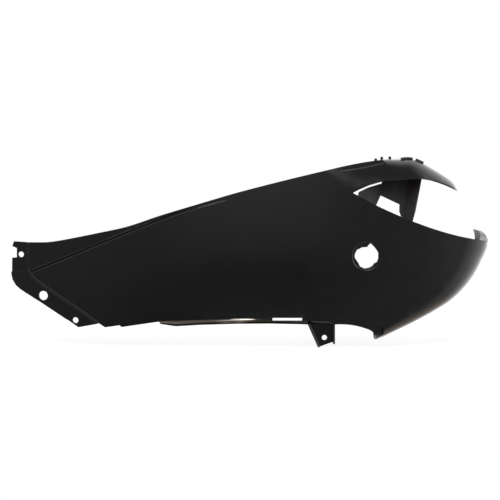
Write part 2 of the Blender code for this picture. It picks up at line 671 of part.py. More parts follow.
def cutters(collection):
    """Holes, each cut right through the wall that it is in."""
    tools = []
    for x, z, diameter in SCREW_HOLES:
        y = face_depth(x, z)
        bore = round_outline(x, z, diameter / 2)
        tools.append(through("screw_hole", bore, y, WALL, collection, math.tan(FLANGE_TURN)))
    y = face_depth(LOCK_X, LOCK_Z)
    lock = [(LOCK_X + dx, LOCK_Z + dz) for dx, dz in LOCK_OUTLINE]
    tools.append(through("lock_hole", lock, y, LOCK_COLLAR_DEPTH, collection))
    y = face_depth(SEAT_X, SEAT_Z)
    seat = round_outline(SEAT_X, SEAT_Z, SEAT_RADIUS)
    tools.append(extruded("seat", seat, y - CUT_MARGIN, y + SEAT_DEPTH, collection))
    x, z, diameter = BRACKET_HOLE
    y, _ = bracket_front(x)
    bore = round_outline(x, z, diameter / 2)
    tools.append(through("bracket_hole", bore, y, BRACKET_THICKNESS, collection))
    slot = [(SLOT_START, SLOT_BOTTOM), (SLOT_END, SLOT_BOTTOM)]
    slot += [(SLOT_END, SLOT_TOP), (SLOT_START, SLOT_TOP)]
    y = face_depth(SLOT_START, SLOT_TOP)
    tools.append(through("bottom_slot", slot, y, BOTTOM_RETURN[0][1] + 2 * WALL, collection))
    y = face_depth(WEB_X, WINDOW[1][1])
    tools.append(extruded("window", WINDOW, y + WEB_FRONT, y + WEB_BACK + CUT_MARGIN, collection))
    return tools


def through(name, outline, face, thickness, collection, lean=0.0):
    """A cutter that starts in front of a face and ends behind the wall."""
    placed = [(x - lean * CUT_MARGIN, z) for x, z in outline]
    return extruded(name, placed, face - CUT_MARGIN, face + thickness + CUT_MARGIN, collection, lean)


def black_plastic():
    """Satin-gloss black ABS."""
    material = bpy.data.materials.new("black_abs")
    material.use_nodes = True
    shader = material.node_tree.nodes["Principled BSDF"]
    shader.inputs["Base Color"].default_value = (BLACK, BLACK, BLACK, 1)
    shader.inputs["Roughness"].default_value = ROUGHNESS
    shader.inputs["Metallic"].default_value = 0.0
    return material


def main():
    for old in list(bpy.data.objects):
        bpy.data.objects.remove(old)
    parts = new_collection("scooter_fairing_panel")
    tools = new_collection("cutters")
    tools.hide_render = True
    runs = outline_runs()
    sheet = formed_skin(runs)
    add_folds(sheet, runs)
    data = bpy.data.meshes.new("fairing_panel")
    sheet.to_mesh(data)
    sheet.free()
    panel = plain_object("fairing_panel", data, parts)
    wall = panel.modifiers.new("wall", "SOLIDIFY")
    wall.thickness = WALL
    wall.offset = -1
    wall.use_even_offset = True
    apply_modifiers(panel)
    for piece in joined_pieces(tools):
        combine(panel, piece, "UNION")
    for tool in cutters(tools):
        combine(panel, tool, "DIFFERENCE")
    panel.data.materials.clear()
    panel.data.materials.append(black_plastic())
    panel.data.shade_smooth()
    panel.data.set_sharp_from_angle(angle=SHARP_ANGLE)


TOP_LINE = curve_through(TOP_EDGE, CELL)
TAIL_LINE = curve_through(TAIL_EDGE, CELL)
WEDGE_LINE = with_corners(WEDGE, CELL)
ARM_LINE = with_corners(ARM_FOLD + ARM_FOLD_FAR, CELL)
SHOULDER_LINE = with_corners(SHOULDER, CELL)
main()
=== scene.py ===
"""Looks for the left rear side fairing: one injection moulding in satin-gloss black ABS.

Everything is in metres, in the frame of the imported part. The panel is made again from the CAD's sizes, with
a finer skin, rounded steps and softened edges, and stands for the CAD node. A few edges differ from the CAD
by some millimetres, to match the photo: the lip turns under, the nose hooks in, the bottom edge is a little
higher beside the bracket, and there are a seat bore and three small marks.
"""
import math

import bmesh
import bpy
import numpy as np
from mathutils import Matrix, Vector
from mathutils.geometry import delaunay_2d_cdt


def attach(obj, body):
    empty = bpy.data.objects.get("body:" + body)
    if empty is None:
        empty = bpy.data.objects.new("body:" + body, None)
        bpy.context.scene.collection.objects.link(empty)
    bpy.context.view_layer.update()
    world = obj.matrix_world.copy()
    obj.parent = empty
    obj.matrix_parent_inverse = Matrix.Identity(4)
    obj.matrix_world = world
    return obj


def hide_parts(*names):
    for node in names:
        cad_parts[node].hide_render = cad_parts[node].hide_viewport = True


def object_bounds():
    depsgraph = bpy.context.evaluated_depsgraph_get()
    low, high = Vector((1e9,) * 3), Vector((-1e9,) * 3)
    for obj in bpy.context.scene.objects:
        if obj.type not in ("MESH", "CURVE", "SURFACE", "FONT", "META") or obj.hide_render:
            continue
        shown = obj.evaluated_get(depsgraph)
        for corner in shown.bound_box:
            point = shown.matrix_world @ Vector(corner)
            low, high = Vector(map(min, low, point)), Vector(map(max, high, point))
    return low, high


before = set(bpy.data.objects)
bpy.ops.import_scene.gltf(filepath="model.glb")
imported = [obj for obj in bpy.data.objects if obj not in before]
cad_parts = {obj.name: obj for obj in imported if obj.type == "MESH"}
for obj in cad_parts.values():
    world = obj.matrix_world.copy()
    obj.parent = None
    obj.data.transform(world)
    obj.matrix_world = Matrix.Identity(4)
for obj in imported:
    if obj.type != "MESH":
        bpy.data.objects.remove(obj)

CAD_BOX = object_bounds()

# Wall and mesh
WALL = 0.0025
CELL = 0.004
FINE_CELL = 0.001
ROUND_SPACING = 0.0015
REACH = 0.013
SPAN_SHARE = 0.05
FOLD_SHARES = (1 / 3, 2 / 3, 1)
LIP_ROWS = 9
FOLD_CLEAR = 0.0032

# The proud edge: a rounded brow, a steep face and a trough at its foot, and where guide lines run past it
BROW_WIDTH = 0.0018
BROW_DEPTH = 0.0012
STEP_FACE = 0.0007
TROUGH_DEPTH = 0.0012
TROUGH_END = 0.0060
PAST_WEDGE = (-0.0018, -0.0014, -0.0010, -0.0006, -0.0003, 0, 0.0007, 0.0018, 0.0032, 0.0046, 0.0060)

# The small steps run through an S
SMALL_LEAD = 0.0004
SMALL_WIDTH = 0.0012
SMALL_SHARES = (0, 0.25, 0.5, 0.75, 1)

# Plan and section of the main skin
FLANGE_TURN = math.radians(10)
BOW_START = 0.120
BOW_END = 0.690
TAIL_SLOPE = 0.15
CROWN_RADIUS = 0.600
CROWN_HEIGHT = 0.022
CROWN_START = 0.100
CROWN_FULL = 0.360

# Levels behind the main skin
FLANGE_STEP = 0.0055
STRIP_FADE_START = 0.150
STRIP_FADE_END = 0.338
LUG_STEP = 0.002
LUG_X = -0.0055
LUG_Z = 0.0130
ARM_SET = 0.0025
ARM_SET_WIDTH = 0.030
SHOULDER_STEP = 0.0020
SHOULDER_FULL = 0.545

# Small raised marks at the front: (x, z, radius, height), and the rings that the mesh follows on them
MARKS = [(-0.0067, 0.0452, 0.0014, 0.0008), (-0.0041, 0.0126, 0.0018, 0.0010),
         (0.0008, 0.0100, 0.0018, 0.0010)]
MARK_SHARES = (1 / 3, 2 / 3, 1)

# The main skin's proud edge, from its foot over the tip and up the crease: (x, z)
WEDGE = [(0.1119, -0.0685), (0.0806, -0.0464), (0.0476, -0.0251), (0.0144, -0.0028), (0.0045, 0.0044),
         (-0.0021, 0.0116), (0.0483, 0.0322), (0.1148, 0.0600), (0.1965, 0.0931), (0.2448, 0.1110),
         (0.2929, 0.1247), (0.3380, 0.1380)]
WEDGE_TIP = 5

# The arm's shoulder, below a strip that is set back; the strip ends where the roof begins: (x, z)
SHOULDER = [(0.4979, 0.1778), (0.5290, 0.1820), (0.5504, 0.1860), (0.5720, 0.1908)]

# Where the arm leaves the body, a soft fold in the skin, and the line on which that fold is measured
ARM_FOLD = [(0.4560, 0.1830), (0.4943, 0.1581), (0.5215, 0.1439)]
ARM_FOLD_FAR = [(0.6100, 0.1390), (0.7100, 0.1200)]

# Outline of the skin, seen from the side, in stretches that share their end points: (x, z). Three of them
# are asked for by their place in that order, and the bracket hangs between two points of the bottom edge
ARM_RUN = 1
BODY_RUN = 2
ARCH_RUN = 4
BRACKET_END = 0
BRACKET_START = 3
TOP_EDGE = [(-0.0055, 0.0615), (0.0316, 0.0627), (0.0516, 0.0659), (0.0732, 0.0702), (0.1146, 0.0790),
            (0.1556, 0.0882), (0.2125, 0.1073), (0.2768, 0.1269), (0.3328, 0.1434), (0.3888, 0.1580),
            (0.4368, 0.1698), (0.4688, 0.1773), (0.5174, 0.1882), (0.5497, 0.1938), (0.5741, 0.1966),
            (0.5997, 0.1969), (0.6133, 0.1980), (0.6271, 0.1953), (0.6409, 0.1890), (0.6548, 0.1814),
            (0.6688, 0.1737), (0.6810, 0.1662), (0.6912, 0.1579), (0.6988, 0.1450)]
ARM_LOWER_EDGE = [(0.6988, 0.1450), (0.6831, 0.1526), (0.6646, 0.1596), (0.6472, 0.1643), (0.6320, 0.1654),
                  (0.5975, 0.1638), (0.5716, 0.1624), (0.5408, 0.1537), (0.5215, 0.1439)]
BODY_EDGE = [(0.5215, 0.1439), (0.5358, 0.1360), (0.5583, 0.1242), (0.5969, 0.1067), (0.6146, 0.0995),
             (0.6373, 0.0909), (0.6618, 0.0827), (0.6864, 0.0757), (0.7217, 0.0681), (0.7503, 0.0629)]
TAIL_EDGE = [(0.7503, 0.0629), (0.7462, 0.0481), (0.7394, 0.0336), (0.7247, 0.0065), (0.7062, -0.0163),
             (0.6835, -0.0358), (0.6568, -0.0516), (0.6245, -0.0680), (0.5950, -0.0817), (0.5630, -0.0965)]
ARCH_EDGE = [(0.5630, -0.0965), (0.5608, -0.0905), (0.5534, -0.0792), (0.5419, -0.0741), (0.5257, -0.0695),
             (0.5095, -0.0674), (0.4918, -0.0673)]
BOTTOM_EDGE = [(0.4918, -0.0673), (0.4882, -0.0632), (0.4700, -0.0605), (0.4403, -0.0592),
               (0.3921, -0.0580), (0.3327, -0.0578), (0.2764, -0.0594), (0.2311, -0.0613),
               (0.2120, -0.0636)]
FOOT_EDGE = [(0.2120, -0.0636), (0.2085, -0.0641), (0.1489, -0.0737), (0.1456, -0.0709),
             (0.1217, -0.0747), (0.1119, -0.0685)]
FLANGE_EDGE = [(0.1119, -0.0685), (0.1079, -0.0703), (0.0768, -0.0765), (0.0597, -0.0650),
               (0.0564, -0.0636), (0.0132, -0.0361), (-0.0175, -0.0175), (-0.0268, -0.0100),
               (-0.0326, -0.0005), (-0.0349, 0.0108), (-0.0337, 0.0138), (-0.0331, 0.0356),
               (-0.0252, 0.0362), (-0.0250, 0.0515), (-0.0326, 0.0548), (-0.0298, 0.0626),
               (-0.0055, 0.0615)]
FLANGE_LEFT = -0.0331

# How the skin rounds over towards an edge: (x of the edge, width in from it, depth gained)
TOP_ROUND = [(-0.06, 0.0002, 0.0), (0.569, 0.0002, 0.0), (0.576, 0.010, 0.013), (0.600, 0.015, 0.018),
             (0.627, 0.024, 0.024), (0.655, 0.032, 0.036), (0.681, 0.032, 0.046), (0.700, 0.032, 0.050)]
TAIL_ROUND = [(0.560, 0.013, 0.022), (0.624, 0.020, 0.029), (0.684, 0.030, 0.039), (0.725, 0.040, 0.048),
              (0.751, 0.046, 0.052)]
ROUND_ONSET = 2.5
ARM_ROUND_START = 0.545
ARM_LINES = 12
TAIL_LINES = 12

# How far the skin carries on inwards from an edge: (x of the edge, depth)
TOP_RETURN = [(-0.06, 0.012), (0.500, 0.012), (0.574, 0.030), (0.640, 0.045), (0.700, 0.045)]
TOP_LIFT = [(-0.06, -0.085), (0.350, -0.060), (0.545, -0.025), (0.574, 0.030), (0.6133, 0.040)]
BOTTOM_RETURN = [(0.140, 0.008), (0.520, 0.008), (0.566, 0.016)]
RETURN_END = (0.1489, -0.0737)
TAIL_RETURN = [(0.560, 0.016), (0.624, 0.030), (0.700, 0.052), (0.751, 0.060)]
TAIL_DRAFT = 0.06
NOSE_RISE = 0.0140
NOSE_TURN = 0.0148
NOSE_REACH = 0.050
NOSE_TIP = 0.012
NOSE_CUT_BACK = 0.60
RIM_LEDGE = 0.014
NOSE_LEDGE = (0.0140, 0.0090, 0.0045, 0.0004)

# The lip below the bottom edge: (x, z) of its lower edge, and how it turns inwards
LIP_EDGE = [(0.2085, -0.0641), (0.2120, -0.0698), (0.2365, -0.0731), (0.2764, -0.0704), (0.3326, -0.0683),
            (0.3890, -0.0676), (0.4487, -0.0688), (0.4930, -0.0697)]
LIP_TURN = 0.68
LIP_INWARDS = [(0.2085, 0.0065), (0.440, 0.0065), (0.456, 0.0030)]

# The pocket below the arm: (x at the body's edge, x at the arm's edge, depth behind the skin)
POCKET = [(0.5310, 0.5330, 0.008), (0.5450, 0.5480, 0.018), (0.5580, 0.5660, 0.026),
          (0.5618, 0.5700, 0.027), (0.5650, 0.5732, 0.0275), (0.5850, 0.5970, 0.030),
          (0.6030, 0.6140, 0.030), (0.6045, 0.6158, 0.0293), (0.6095, 0.6230, 0.023),
          (0.6190, 0.6338, 0.013)]
POCKET_GAP = 0.0049
CEILING_START = 0.572
WEB_X = 0.570
WEB_FRONT = 0.008
WEB_BACK = 0.030

# Holes
SCREW_HOLES = [(-0.0178, 0.0413, 0.0094), (0.0189, -0.0256, 0.0152), (0.0723, -0.0648, 0.0096)]
LOCK_X = 0.5429
LOCK_Z = 0.0433
LOCK_OUTLINE = [(0.0066, 0.0203), (0.0109, 0.0164), (0.0156, 0.0108), (0.0189, 0.0056), (0.0190, -0.0037),
                (0.0170, -0.0096), (0.0122, -0.0120), (0.0098, -0.0158), (0.0042, -0.0187),
                (-0.0026, -0.0200), (-0.0100, -0.0168), (-0.0130, -0.0108), (-0.0160, -0.0066),
                (-0.0187, -0.0024), (-0.0188, 0.0027), (-0.0154, 0.0098), (-0.0072, 0.0140),
                (0.0010, 0.0145), (0.0035, 0.0180)]
LOCK_RECESS_RADIUS = 0.0230
LOCK_RECESS = 0.0008
LOCK_COLLAR_RADIUS = 0.0225
LOCK_COLLAR_DEPTH = 0.012
WINDOW = [(0.5685, 0.1381), (0.5600, 0.1204), (0.5800, 0.1104), (0.6032, 0.1003), (0.5990, 0.1120),
          (0.5994, 0.1236)]
SLOT_START = 0.3930
SLOT_END = 0.4405
SLOT_TOP = -0.0564
SLOT_BOTTOM = -0.0618
SEAT_FROM_CORNER_X = 0.0025
SEAT_FROM_CORNER_Z = 0.0182
SEAT_X = ARCH_EDGE[0][0] + SEAT_FROM_CORNER_X
SEAT_Z = ARCH_EDGE[0][1] + SEAT_FROM_CORNER_Z
SEAT_RADIUS = 0.0070
SEAT_DEPTH = 0.0016
SEAT_BOSS_RADIUS = 0.0085
SEAT_BOSS_DEPTH = 0.009
SEAT_BOSS_START = 0.0019
SEAT_BORE_RADIUS = 0.0035
SEAT_BORE_DEPTH = 0.0060

# The hanging bracket, seen from the side: (x, z)
BRACKET_SETBACK = 0.0084
BRACKET_THICKNESS = 0.0032
BRACKET_WALL_DEPTH = 0.007
BRACKET_PLATE = [(0.4510, -0.0660), (0.4680, -0.1048), (0.4895, -0.0972), (0.4926, -0.0992),
                 (0.4926, -0.0660)]
BRACKET_LEFT_WALL = [(0.4493, -0.0668), (0.4665, -0.1058), (0.4706, -0.1043), (0.4538, -0.0668)]
BRACKET_RIGHT_WALL = [(0.4938, -0.0668), (0.4938, -0.1002), (0.4902, -0.0986), (0.4902, -0.0668)]
BRACKET_WALL_TURN = 0.30
BRACKET_HOLE = (0.4768, -0.0896, 0.0084)
BRACKET_SOFTENING = 0.0006

# Small tabs and ribs that stand up from the top edge
TOP_TABS = [(0.5600, 0.0030), (0.5700, 0.0045), (0.5843, 0.0042)]
TAB_WIDTH = 0.0042
TAB_BACK = 0.010
ROOF_RIBS = [(0.6015, 0.6205), (0.6260, 0.6385)]
RIB_RISE = 0.0024
RIB_SINK = 0.0034
RIB_FACE_DROP = 0.0014
RIB_ROUNDING = 0.0007

# Plain workshop values
TO_MM = 1000
SNAP_MM = 0.001
CORNER_SHARE = 1e-6
PLACES_AT_ONCE = 2000
INSIDE_ONLY = 1
CUT_MARGIN = 0.010
OVERLAP = 0.0010
ROUND_SIDES = 28
MARK_SIDES = 8
WEB_ROWS = 4
RIB_PLACES = 6
ROUNDING_COUNT = 3
SHARP_ANGLE = math.radians(35)
SKIN_GAP = 0.00003
NORMAL_STEP = 0.00001
SAME_WAY = 0.7
BACKWARDS = 0.35

# Camera and floor
SENSOR = 36
CAMERA_TARGET = (0.3568, -0.045, 0.0528)
CAMERA_RISE = math.radians(5)
CAMERA_DISTANCE = 2.2
VIEW_WIDTH = 0.8
FLOOR_GAP = 0.0005
FLOOR_REACH = 30
FLOOR_PAINT = "#949494"
FLOOR_LIFT = 0.86
FLOOR_MIDDLE = (0.36, 0.05, -0.106)
FADE_START = 0.5
FADE_END = 1.1

# The reflected room, by the way a reflection goes: X to the right, Y to the back, Z upwards, each -1 to 1
FILL_LIGHT = 0.35
ALL_WAYS = (-1.0, 1.0)
TABLE_SLANT = 0.25
PALE_EDGE = (-0.04, 0.03)
TABLE_LEFT = (-0.50, -0.44)
TABLE_RIGHT = (0.17, 0.08)
TABLE_TONES = (0.25, 0.15)
ROOM = TABLE_TONES[0]
WALL_RISE = (0.0, 0.5)
WALL_TONES = (0.34, 0.56)
BOARDS_RISE = (-0.65, -0.45)
SWEEP_GAIN = 2.0
WARM_BOARDS = (1.0, 0.84, 0.70, 1)

# Tones of the white sweep before its gain: (place from 0 to 1 along the way, tone)
BESIDE = [(0.02, 0.10), (0.20, 0.0), (0.64, 0.0), (0.72, 0.26), (0.76, 0.40), (0.86, 0.55), (0.95, 0.75),
          (0.98, 0.95)]
BEHIND = [(0.20, 0.0), (0.38, 0.45), (0.52, 0.92)]
UNDER = [(0.10, 0.95), (0.28, 0.0)]
BOARDS = [(0.468, 1.0), (0.484, 0.25), (0.505, 0.25), (0.52, 0.72)]
WARMTH = [(0.12, 1.0), (0.20, 0.0)]

# A stand's small lamp low in front, which leans and widens upwards
LAMP_STRENGTH = 32
LAMP_LEAN = (-1.0, -0.55)
LAMP_X = (-0.052, -0.077)
LAMP_WIDENING = (-0.86, -0.80)
LAMP_HALF_WIDTH = (0.002, 0.009)
LAMP_EDGE = (0.003, -0.003)
LAMP_TOP = (-0.48, -0.52)
LAMP_FRONT = (0.0, -0.1)

# Soft lamps: (name, place, target, size, power)
SOFTBOXES = [("overhead_softbox", (0.3, -0.9, 1.9), (0.35, 0.05, 0.05), 1.6, 22),
             ("tail_side_softbox", (2.2, -0.5, 0.9), (0.5, 0.05, 0.05), 1.2, 9)]

# The plastic's clouds of about 55 mm, smears of 24 mm and grain of 1.5 mm: (patches to the metre, detail)
PATTERNS = [(18, 4), (42, 6), (650, 2)]
CLOUD_LIMITS = (0.35, 0.75)
SMEAR_LIMITS = (0.3, 0.7)
GRAIN_HEIGHT = 0.0002
PLASTIC_IOR = 1.5

# Places of the three finishes in the moulding's list of materials
POLISHED = 0
MATT = 1
BRIGHT = 2


def ease(start, end, value):
    """Rise smoothly from 0 at start to 1 at end."""
    t = np.clip((value - start) / (end - start), 0, 1)
    return t * t * (3 - 2 * t)


def curve_through(points, spacing):
    """Points about one spacing apart on a smooth curve through the given ones."""
    knots = np.array(points)
    along = np.concatenate([[0], np.cumsum(np.linalg.norm(np.diff(knots, axis=0), axis=1))])
    slopes = np.gradient(knots, along, axis=0)
    fine = []
    for i, length in enumerate(np.diff(along)):
        for t in np.arange(0, 1, SPAN_SHARE):
            start = (1 + 2 * t) * (1 - t) ** 2 * knots[i] + t * (1 - t) ** 2 * length * slopes[i]
            end = t * t * (3 - 2 * t) * knots[i + 1] + t * t * (t - 1) * length * slopes[i + 1]
            fine.append(start + end)
    fine.append(knots[-1])
    return evenly(np.array(fine), spacing)


def evenly(line, spacing):
    """Points about one spacing apart along a polyline, its ends included."""
    along = np.concatenate([[0], np.cumsum(np.linalg.norm(np.diff(line, axis=0), axis=1))])
    places = np.linspace(0, along[-1], max(2, round(along[-1] / spacing) + 1))
    return np.stack([np.interp(places, along, line[:, k]) for k in range(line.shape[1])], axis=1)


def with_corners(points, spacing):
    """Points about one spacing apart on straight runs between the given ones."""
    runs = [evenly(np.array(pair), spacing)[:-1] for pair in zip(points, points[1:])]
    return np.concatenate(runs + [np.array(points[-1:])])


def nearest(places, line):
    """Distance from each place to a polyline, positive on its left, and the nearest point's x.

    Where a corner is nearest, the run that the place lies farther beside says which side it is on.
    """
    start = line[:-1]
    run = line[1:] - start
    length = np.linalg.norm(run, axis=1)
    gaps, feet = [], []
    for some in np.array_split(places, 1 + len(places) // PLACES_AT_ONCE):
        away = some[:, None] - start
        t = np.clip((away * run).sum(2) / length ** 2, 0, 1)
        foot = start + t[..., None] * run
        gap = np.linalg.norm(some[:, None] - foot, axis=2)
        side = (run[:, 0] * away[..., 1] - run[:, 1] * away[..., 0]) / length
        best = (gap - CORNER_SHARE * np.abs(side)).argmin(1)
        pick = np.arange(len(some))
        gaps.append(np.copysign(gap[pick, best], side[pick, best]))
        feet.append(foot[pick, best, 0])
    return np.concatenate(gaps), np.concatenate(feet)


def beyond(line, reach):
    """The same polyline, carried on straight at both ends."""
    head = line[0] + (line[0] - line[1]) / np.linalg.norm(line[0] - line[1]) * reach
    foot = line[-1] + (line[-1] - line[-2]) / np.linalg.norm(line[-1] - line[-2]) * reach
    return np.vstack([head, line, foot])


def rounding(places, edge, table):
    """Depth that the skin gains as it rounds over towards an edge."""
    rows = np.array(table)
    distance, at = nearest(places, beyond(edge, REACH))
    width = np.interp(at, rows[:, 0], rows[:, 1])
    drop = np.interp(at, rows[:, 0], rows[:, 2])
    turn = np.clip(1 - np.abs(distance) / width, 0, 1)
    return drop * (1 - np.sqrt(np.clip(1 - turn ** ROUND_ONSET, 0, 1)))


def base_depth(places):
    """The skin's plan curve and crown, before any step or rounding."""
    x, z = places[:, 0], places[:, 1]
    slope = math.tan(FLANGE_TURN)
    bow = (slope + TAIL_SLOPE) / (BOW_END - BOW_START)
    plan = -FLANGE_STEP - slope * x + 0.5 * bow * np.clip(x - BOW_START, 0, None) ** 2
    return plan + ease(CROWN_START, CROWN_FULL, x) * (z - CROWN_HEIGHT) ** 2 / (2 * CROWN_RADIUS)


def small_step(past):
    """Share of a small step's depth at a distance past its line, rounded at its top and its foot."""
    return ease(-SMALL_LEAD, SMALL_WIDTH - SMALL_LEAD, past)


def proud_edge(past):
    """Depth at a distance past the main skin's proud edge: brow, steep face and trough."""
    turn = np.clip(1 + past / BROW_WIDTH, 0, 1)
    face = np.clip(past / STEP_FACE, 0, 1)
    trough = TROUGH_DEPTH * (1 - ease(STEP_FACE, TROUGH_END, past))
    return BROW_DEPTH * (1 - np.sqrt(1 - turn ** 2)) + (FLANGE_STEP - BROW_DEPTH + trough) * face


def smooth_depth(places):
    """Depth of the outer face before the steps are pressed into it: curve, soft fold and rounded edges."""
    over_fold, _ = nearest(places, ARM_LINE)
    arm = ARM_SET * ease(0, ARM_SET_WIDTH, over_fold)
    rounded = rounding(places, TOP_FINE, TOP_ROUND) + rounding(places, TAIL_FINE, TAIL_ROUND)
    return base_depth(places) + arm + rounded


def pressed_depth(places):
    """Depth of the steps: flange, fading strips, lug, the arm's shoulder strip and the lock's recess."""
    x, z = places[:, 0], places[:, 1]
    outside, _ = nearest(places, WEDGE_LINE)
    depth = (1 - ease(STRIP_FADE_START, STRIP_FADE_END, x)) * proud_edge(outside)
    depth = depth + LUG_STEP * small_step(LUG_X - x) * small_step(z - LUG_Z)
    over_shoulder, _ = nearest(places, SHOULDER_LINE)
    strip = small_step(over_shoulder) * small_step(SHOULDER[-1][0] - x)
    depth = depth + SHOULDER_STEP * strip * ease(SHOULDER[0][0], SHOULDER_FULL, x)
    for mark_x, mark_z, radius, height in MARKS:
        share = np.hypot(x - mark_x, z - mark_z) / radius
        depth = depth - height * np.clip(1 - share ** 2, 0, 1) ** 2
    from_lock = np.hypot(x - LOCK_X, z - LOCK_Z)
    return depth + LOCK_RECESS * small_step(LOCK_RECESS_RADIUS - from_lock)


def skin_depth(places):
    """Depth of the outer face at each place (x, z)."""
    places = np.atleast_2d(places)
    return smooth_depth(places) + pressed_depth(places)


def rounding_lines(edge, table, count):
    """Guide lines on the inner side of an edge, closer together where the skin turns faster."""
    rows = np.array(table)
    width = np.interp(edge[:, 0], rows[:, 0], rows[:, 1])
    for k in range(count):
        yield beside(edge, -width * (1 - math.sin(0.5 * math.pi * k / count)))


def beside(line, offset):
    """The line moved to its left by an offset."""
    run = np.gradient(line, axis=0)
    normal = np.stack([-run[:, 1], run[:, 0]], axis=1)
    normal = normal / np.linalg.norm(normal, axis=1)[:, None]
    return line + normal * np.broadcast_to(offset, len(line))[:, None]


def ring(x, z, radius, sides=ROUND_SIDES):
    """A closed ring of places."""
    turns = np.linspace(0, 2 * math.pi, sides + 1)
    return np.stack([x + radius * np.cos(turns), z + radius * np.sin(turns)], axis=1)


def inside(places, outline):
    """Whether each place lies inside a closed outline."""
    ends = np.roll(outline, -1, axis=0)
    x, z = places[:, 0, None], places[:, 1, None]
    straddles = (outline[:, 1] > z) != (ends[:, 1] > z)
    rise = np.where(ends[:, 1] == outline[:, 1], 1, ends[:, 1] - outline[:, 1])
    cross = outline[:, 0] + (z - outline[:, 1]) / rise * (ends[:, 0] - outline[:, 0])
    return (straddles & (x < cross)).sum(1) % 2 == 1


def along_skin(line):
    """Places one cell apart along a line, measured on the formed skin."""
    fine = evenly(line, FINE_CELL)
    formed = np.column_stack([fine, skin_depth(fine)])
    return evenly(formed, CELL)[:, :2]


def height_at(line, x):
    """The places on a line at given x."""
    order = np.argsort(line[:, 0])
    return np.column_stack([x, np.interp(x, line[order, 0], line[order, 1])])


def outline_runs():
    """The outline's stretches in order, with a place at every station of the pocket."""
    body = curve_through(BODY_EDGE, FINE_CELL)
    arm = curve_through(ARM_LOWER_EDGE, FINE_CELL)
    body_stations = height_at(body, [row[0] for row in POCKET])
    arm_stations = height_at(arm, [row[1] for row in POCKET])[::-1]
    body_rest = np.vstack([body_stations[-1:], body[body[:, 0] > POCKET[-1][0] + OVERLAP]])
    arm_rest = np.vstack([arm[arm[:, 0] > POCKET[-1][1] + OVERLAP], arm_stations[:1]])
    return [
        TOP_LINE,
        np.vstack([along_skin(arm_rest), arm_stations[1:], arm[-1:]]),
        np.vstack([body[:1], body_stations[:-1], along_skin(body_rest)]),
        TAIL_LINE,
        along_skin(curve_through(ARCH_EDGE, CELL)),
        curve_through(BOTTOM_EDGE, CELL),
        with_corners(FOOT_EDGE, CELL),
        with_corners(FLANGE_EDGE, CELL),
    ]


def guide_lines(runs, outline):
    """Lines that the skin's mesh follows: steps, soft fold, lock recess and each rounding."""
    lines = [curve_through(ARM_FOLD, CELL)]
    lines += [beside(WEDGE_LINE, past) for past in PAST_WEDGE]
    end_x, end_z = SHOULDER[-1]
    for share in SMALL_SHARES:
        past = SMALL_WIDTH * share - SMALL_LEAD
        lines += [beside(SHOULDER_LINE, past), ring(LOCK_X, LOCK_Z, LOCK_RECESS_RADIUS - past)]
        lines.append(with_corners([(end_x - past, end_z), (end_x - past, end_z + WALL)], CELL))
        lines.append(with_corners([(LUG_X - past, LUG_Z), (LUG_X - past, TOP_EDGE[0][1] - WALL)], CELL))
        lines.append(with_corners([(FLANGE_LEFT + WALL, LUG_Z + past), (LUG_X, LUG_Z + past)], CELL))
    for x, z, radius, _ in MARKS:
        lines += [ring(x, z, radius * share, MARK_SIDES) for share in MARK_SHARES]
    wide = TOP_LINE[TOP_LINE[:, 0] >= ARM_ROUND_START]
    banded = [(wide, TOP_ROUND, ARM_LINES, runs[ARM_RUN])]
    banded.append((TAIL_LINE, TAIL_ROUND, TAIL_LINES, np.vstack([runs[BODY_RUN], runs[ARCH_RUN]])))
    for edge, table, count, other in banded:
        for line in rounding_lines(edge, table, count):
            distance, _ = nearest(line, other)
            lines.append(np.where((np.abs(distance) > CELL / 2)[:, None], line, np.nan))
    return [np.where(inside(line, outline)[:, None], line, np.nan) for line in lines]


def flat_skin(runs):
    """The skin laid out flat: a mesh of places and triangles within the outline."""
    outline = np.concatenate([run[:-1] for run in runs])
    places = list(outline)
    edges = []
    kept = [np.vstack([outline, outline[:1]])]
    for line in guide_lines(runs, outline):
        real = ~np.isnan(line[:, 0])
        index = len(places) + np.cumsum(real) - 1
        places.extend(line[real])
        joined = np.flatnonzero(real[:-1] & real[1:])
        edges.extend((int(index[i]), int(index[i + 1])) for i in joined)
        if real.sum() > 1:
            kept.append(line[real])
    low, high = outline.min(0), outline.max(0)
    row_height = CELL * math.sqrt(3) / 2
    grid = []
    for k, z in enumerate(np.arange(low[1], high[1], row_height)):
        for x in np.arange(low[0] + k % 2 * CELL / 2, high[0], CELL):
            grid.append((x, z))
    grid = np.array(grid)
    clear = inside(grid, outline)
    for line in kept:
        clear &= np.abs(nearest(grid, line)[0]) > max(CELL / 2, FOLD_CLEAR)
    places.extend(grid[clear])
    flat = [(float(x) * TO_MM, float(z) * TO_MM) for x, z in places]
    border = list(range(len(outline)))
    corners, _, faces, *_ = delaunay_2d_cdt(flat, edges, [border], INSIDE_ONLY, SNAP_MM)
    return np.array([tuple(c) for c in corners]) / TO_MM, faces


def formed_skin(runs):
    """The skin with its smooth depth, as an open sheet that faces -Y and notes its steps for later."""
    places, faces = flat_skin(runs)
    sheet = bmesh.new()
    press = sheet.verts.layers.float.new("press")
    corners = [sheet.verts.new((x, y, z)) for (x, z), y in zip(places, smooth_depth(places))]
    for corner, depth in zip(corners, pressed_depth(places)):
        corner[press] = depth
    for face in faces:
        sheet.faces.new([corners[i] for i in face])
    loose = [v for v in sheet.verts if not v.link_faces]
    bmesh.ops.delete(sheet, geom=loose, context="VERTS")
    return sheet


def border_walk(sheet):
    """The vertex that follows each border vertex, in the outline's direction."""
    following = {}
    for edge in sheet.edges:
        if edge.is_boundary:
            loop = edge.link_loops[0]
            following[loop.link_loop_next.vert] = loop.vert
    return following


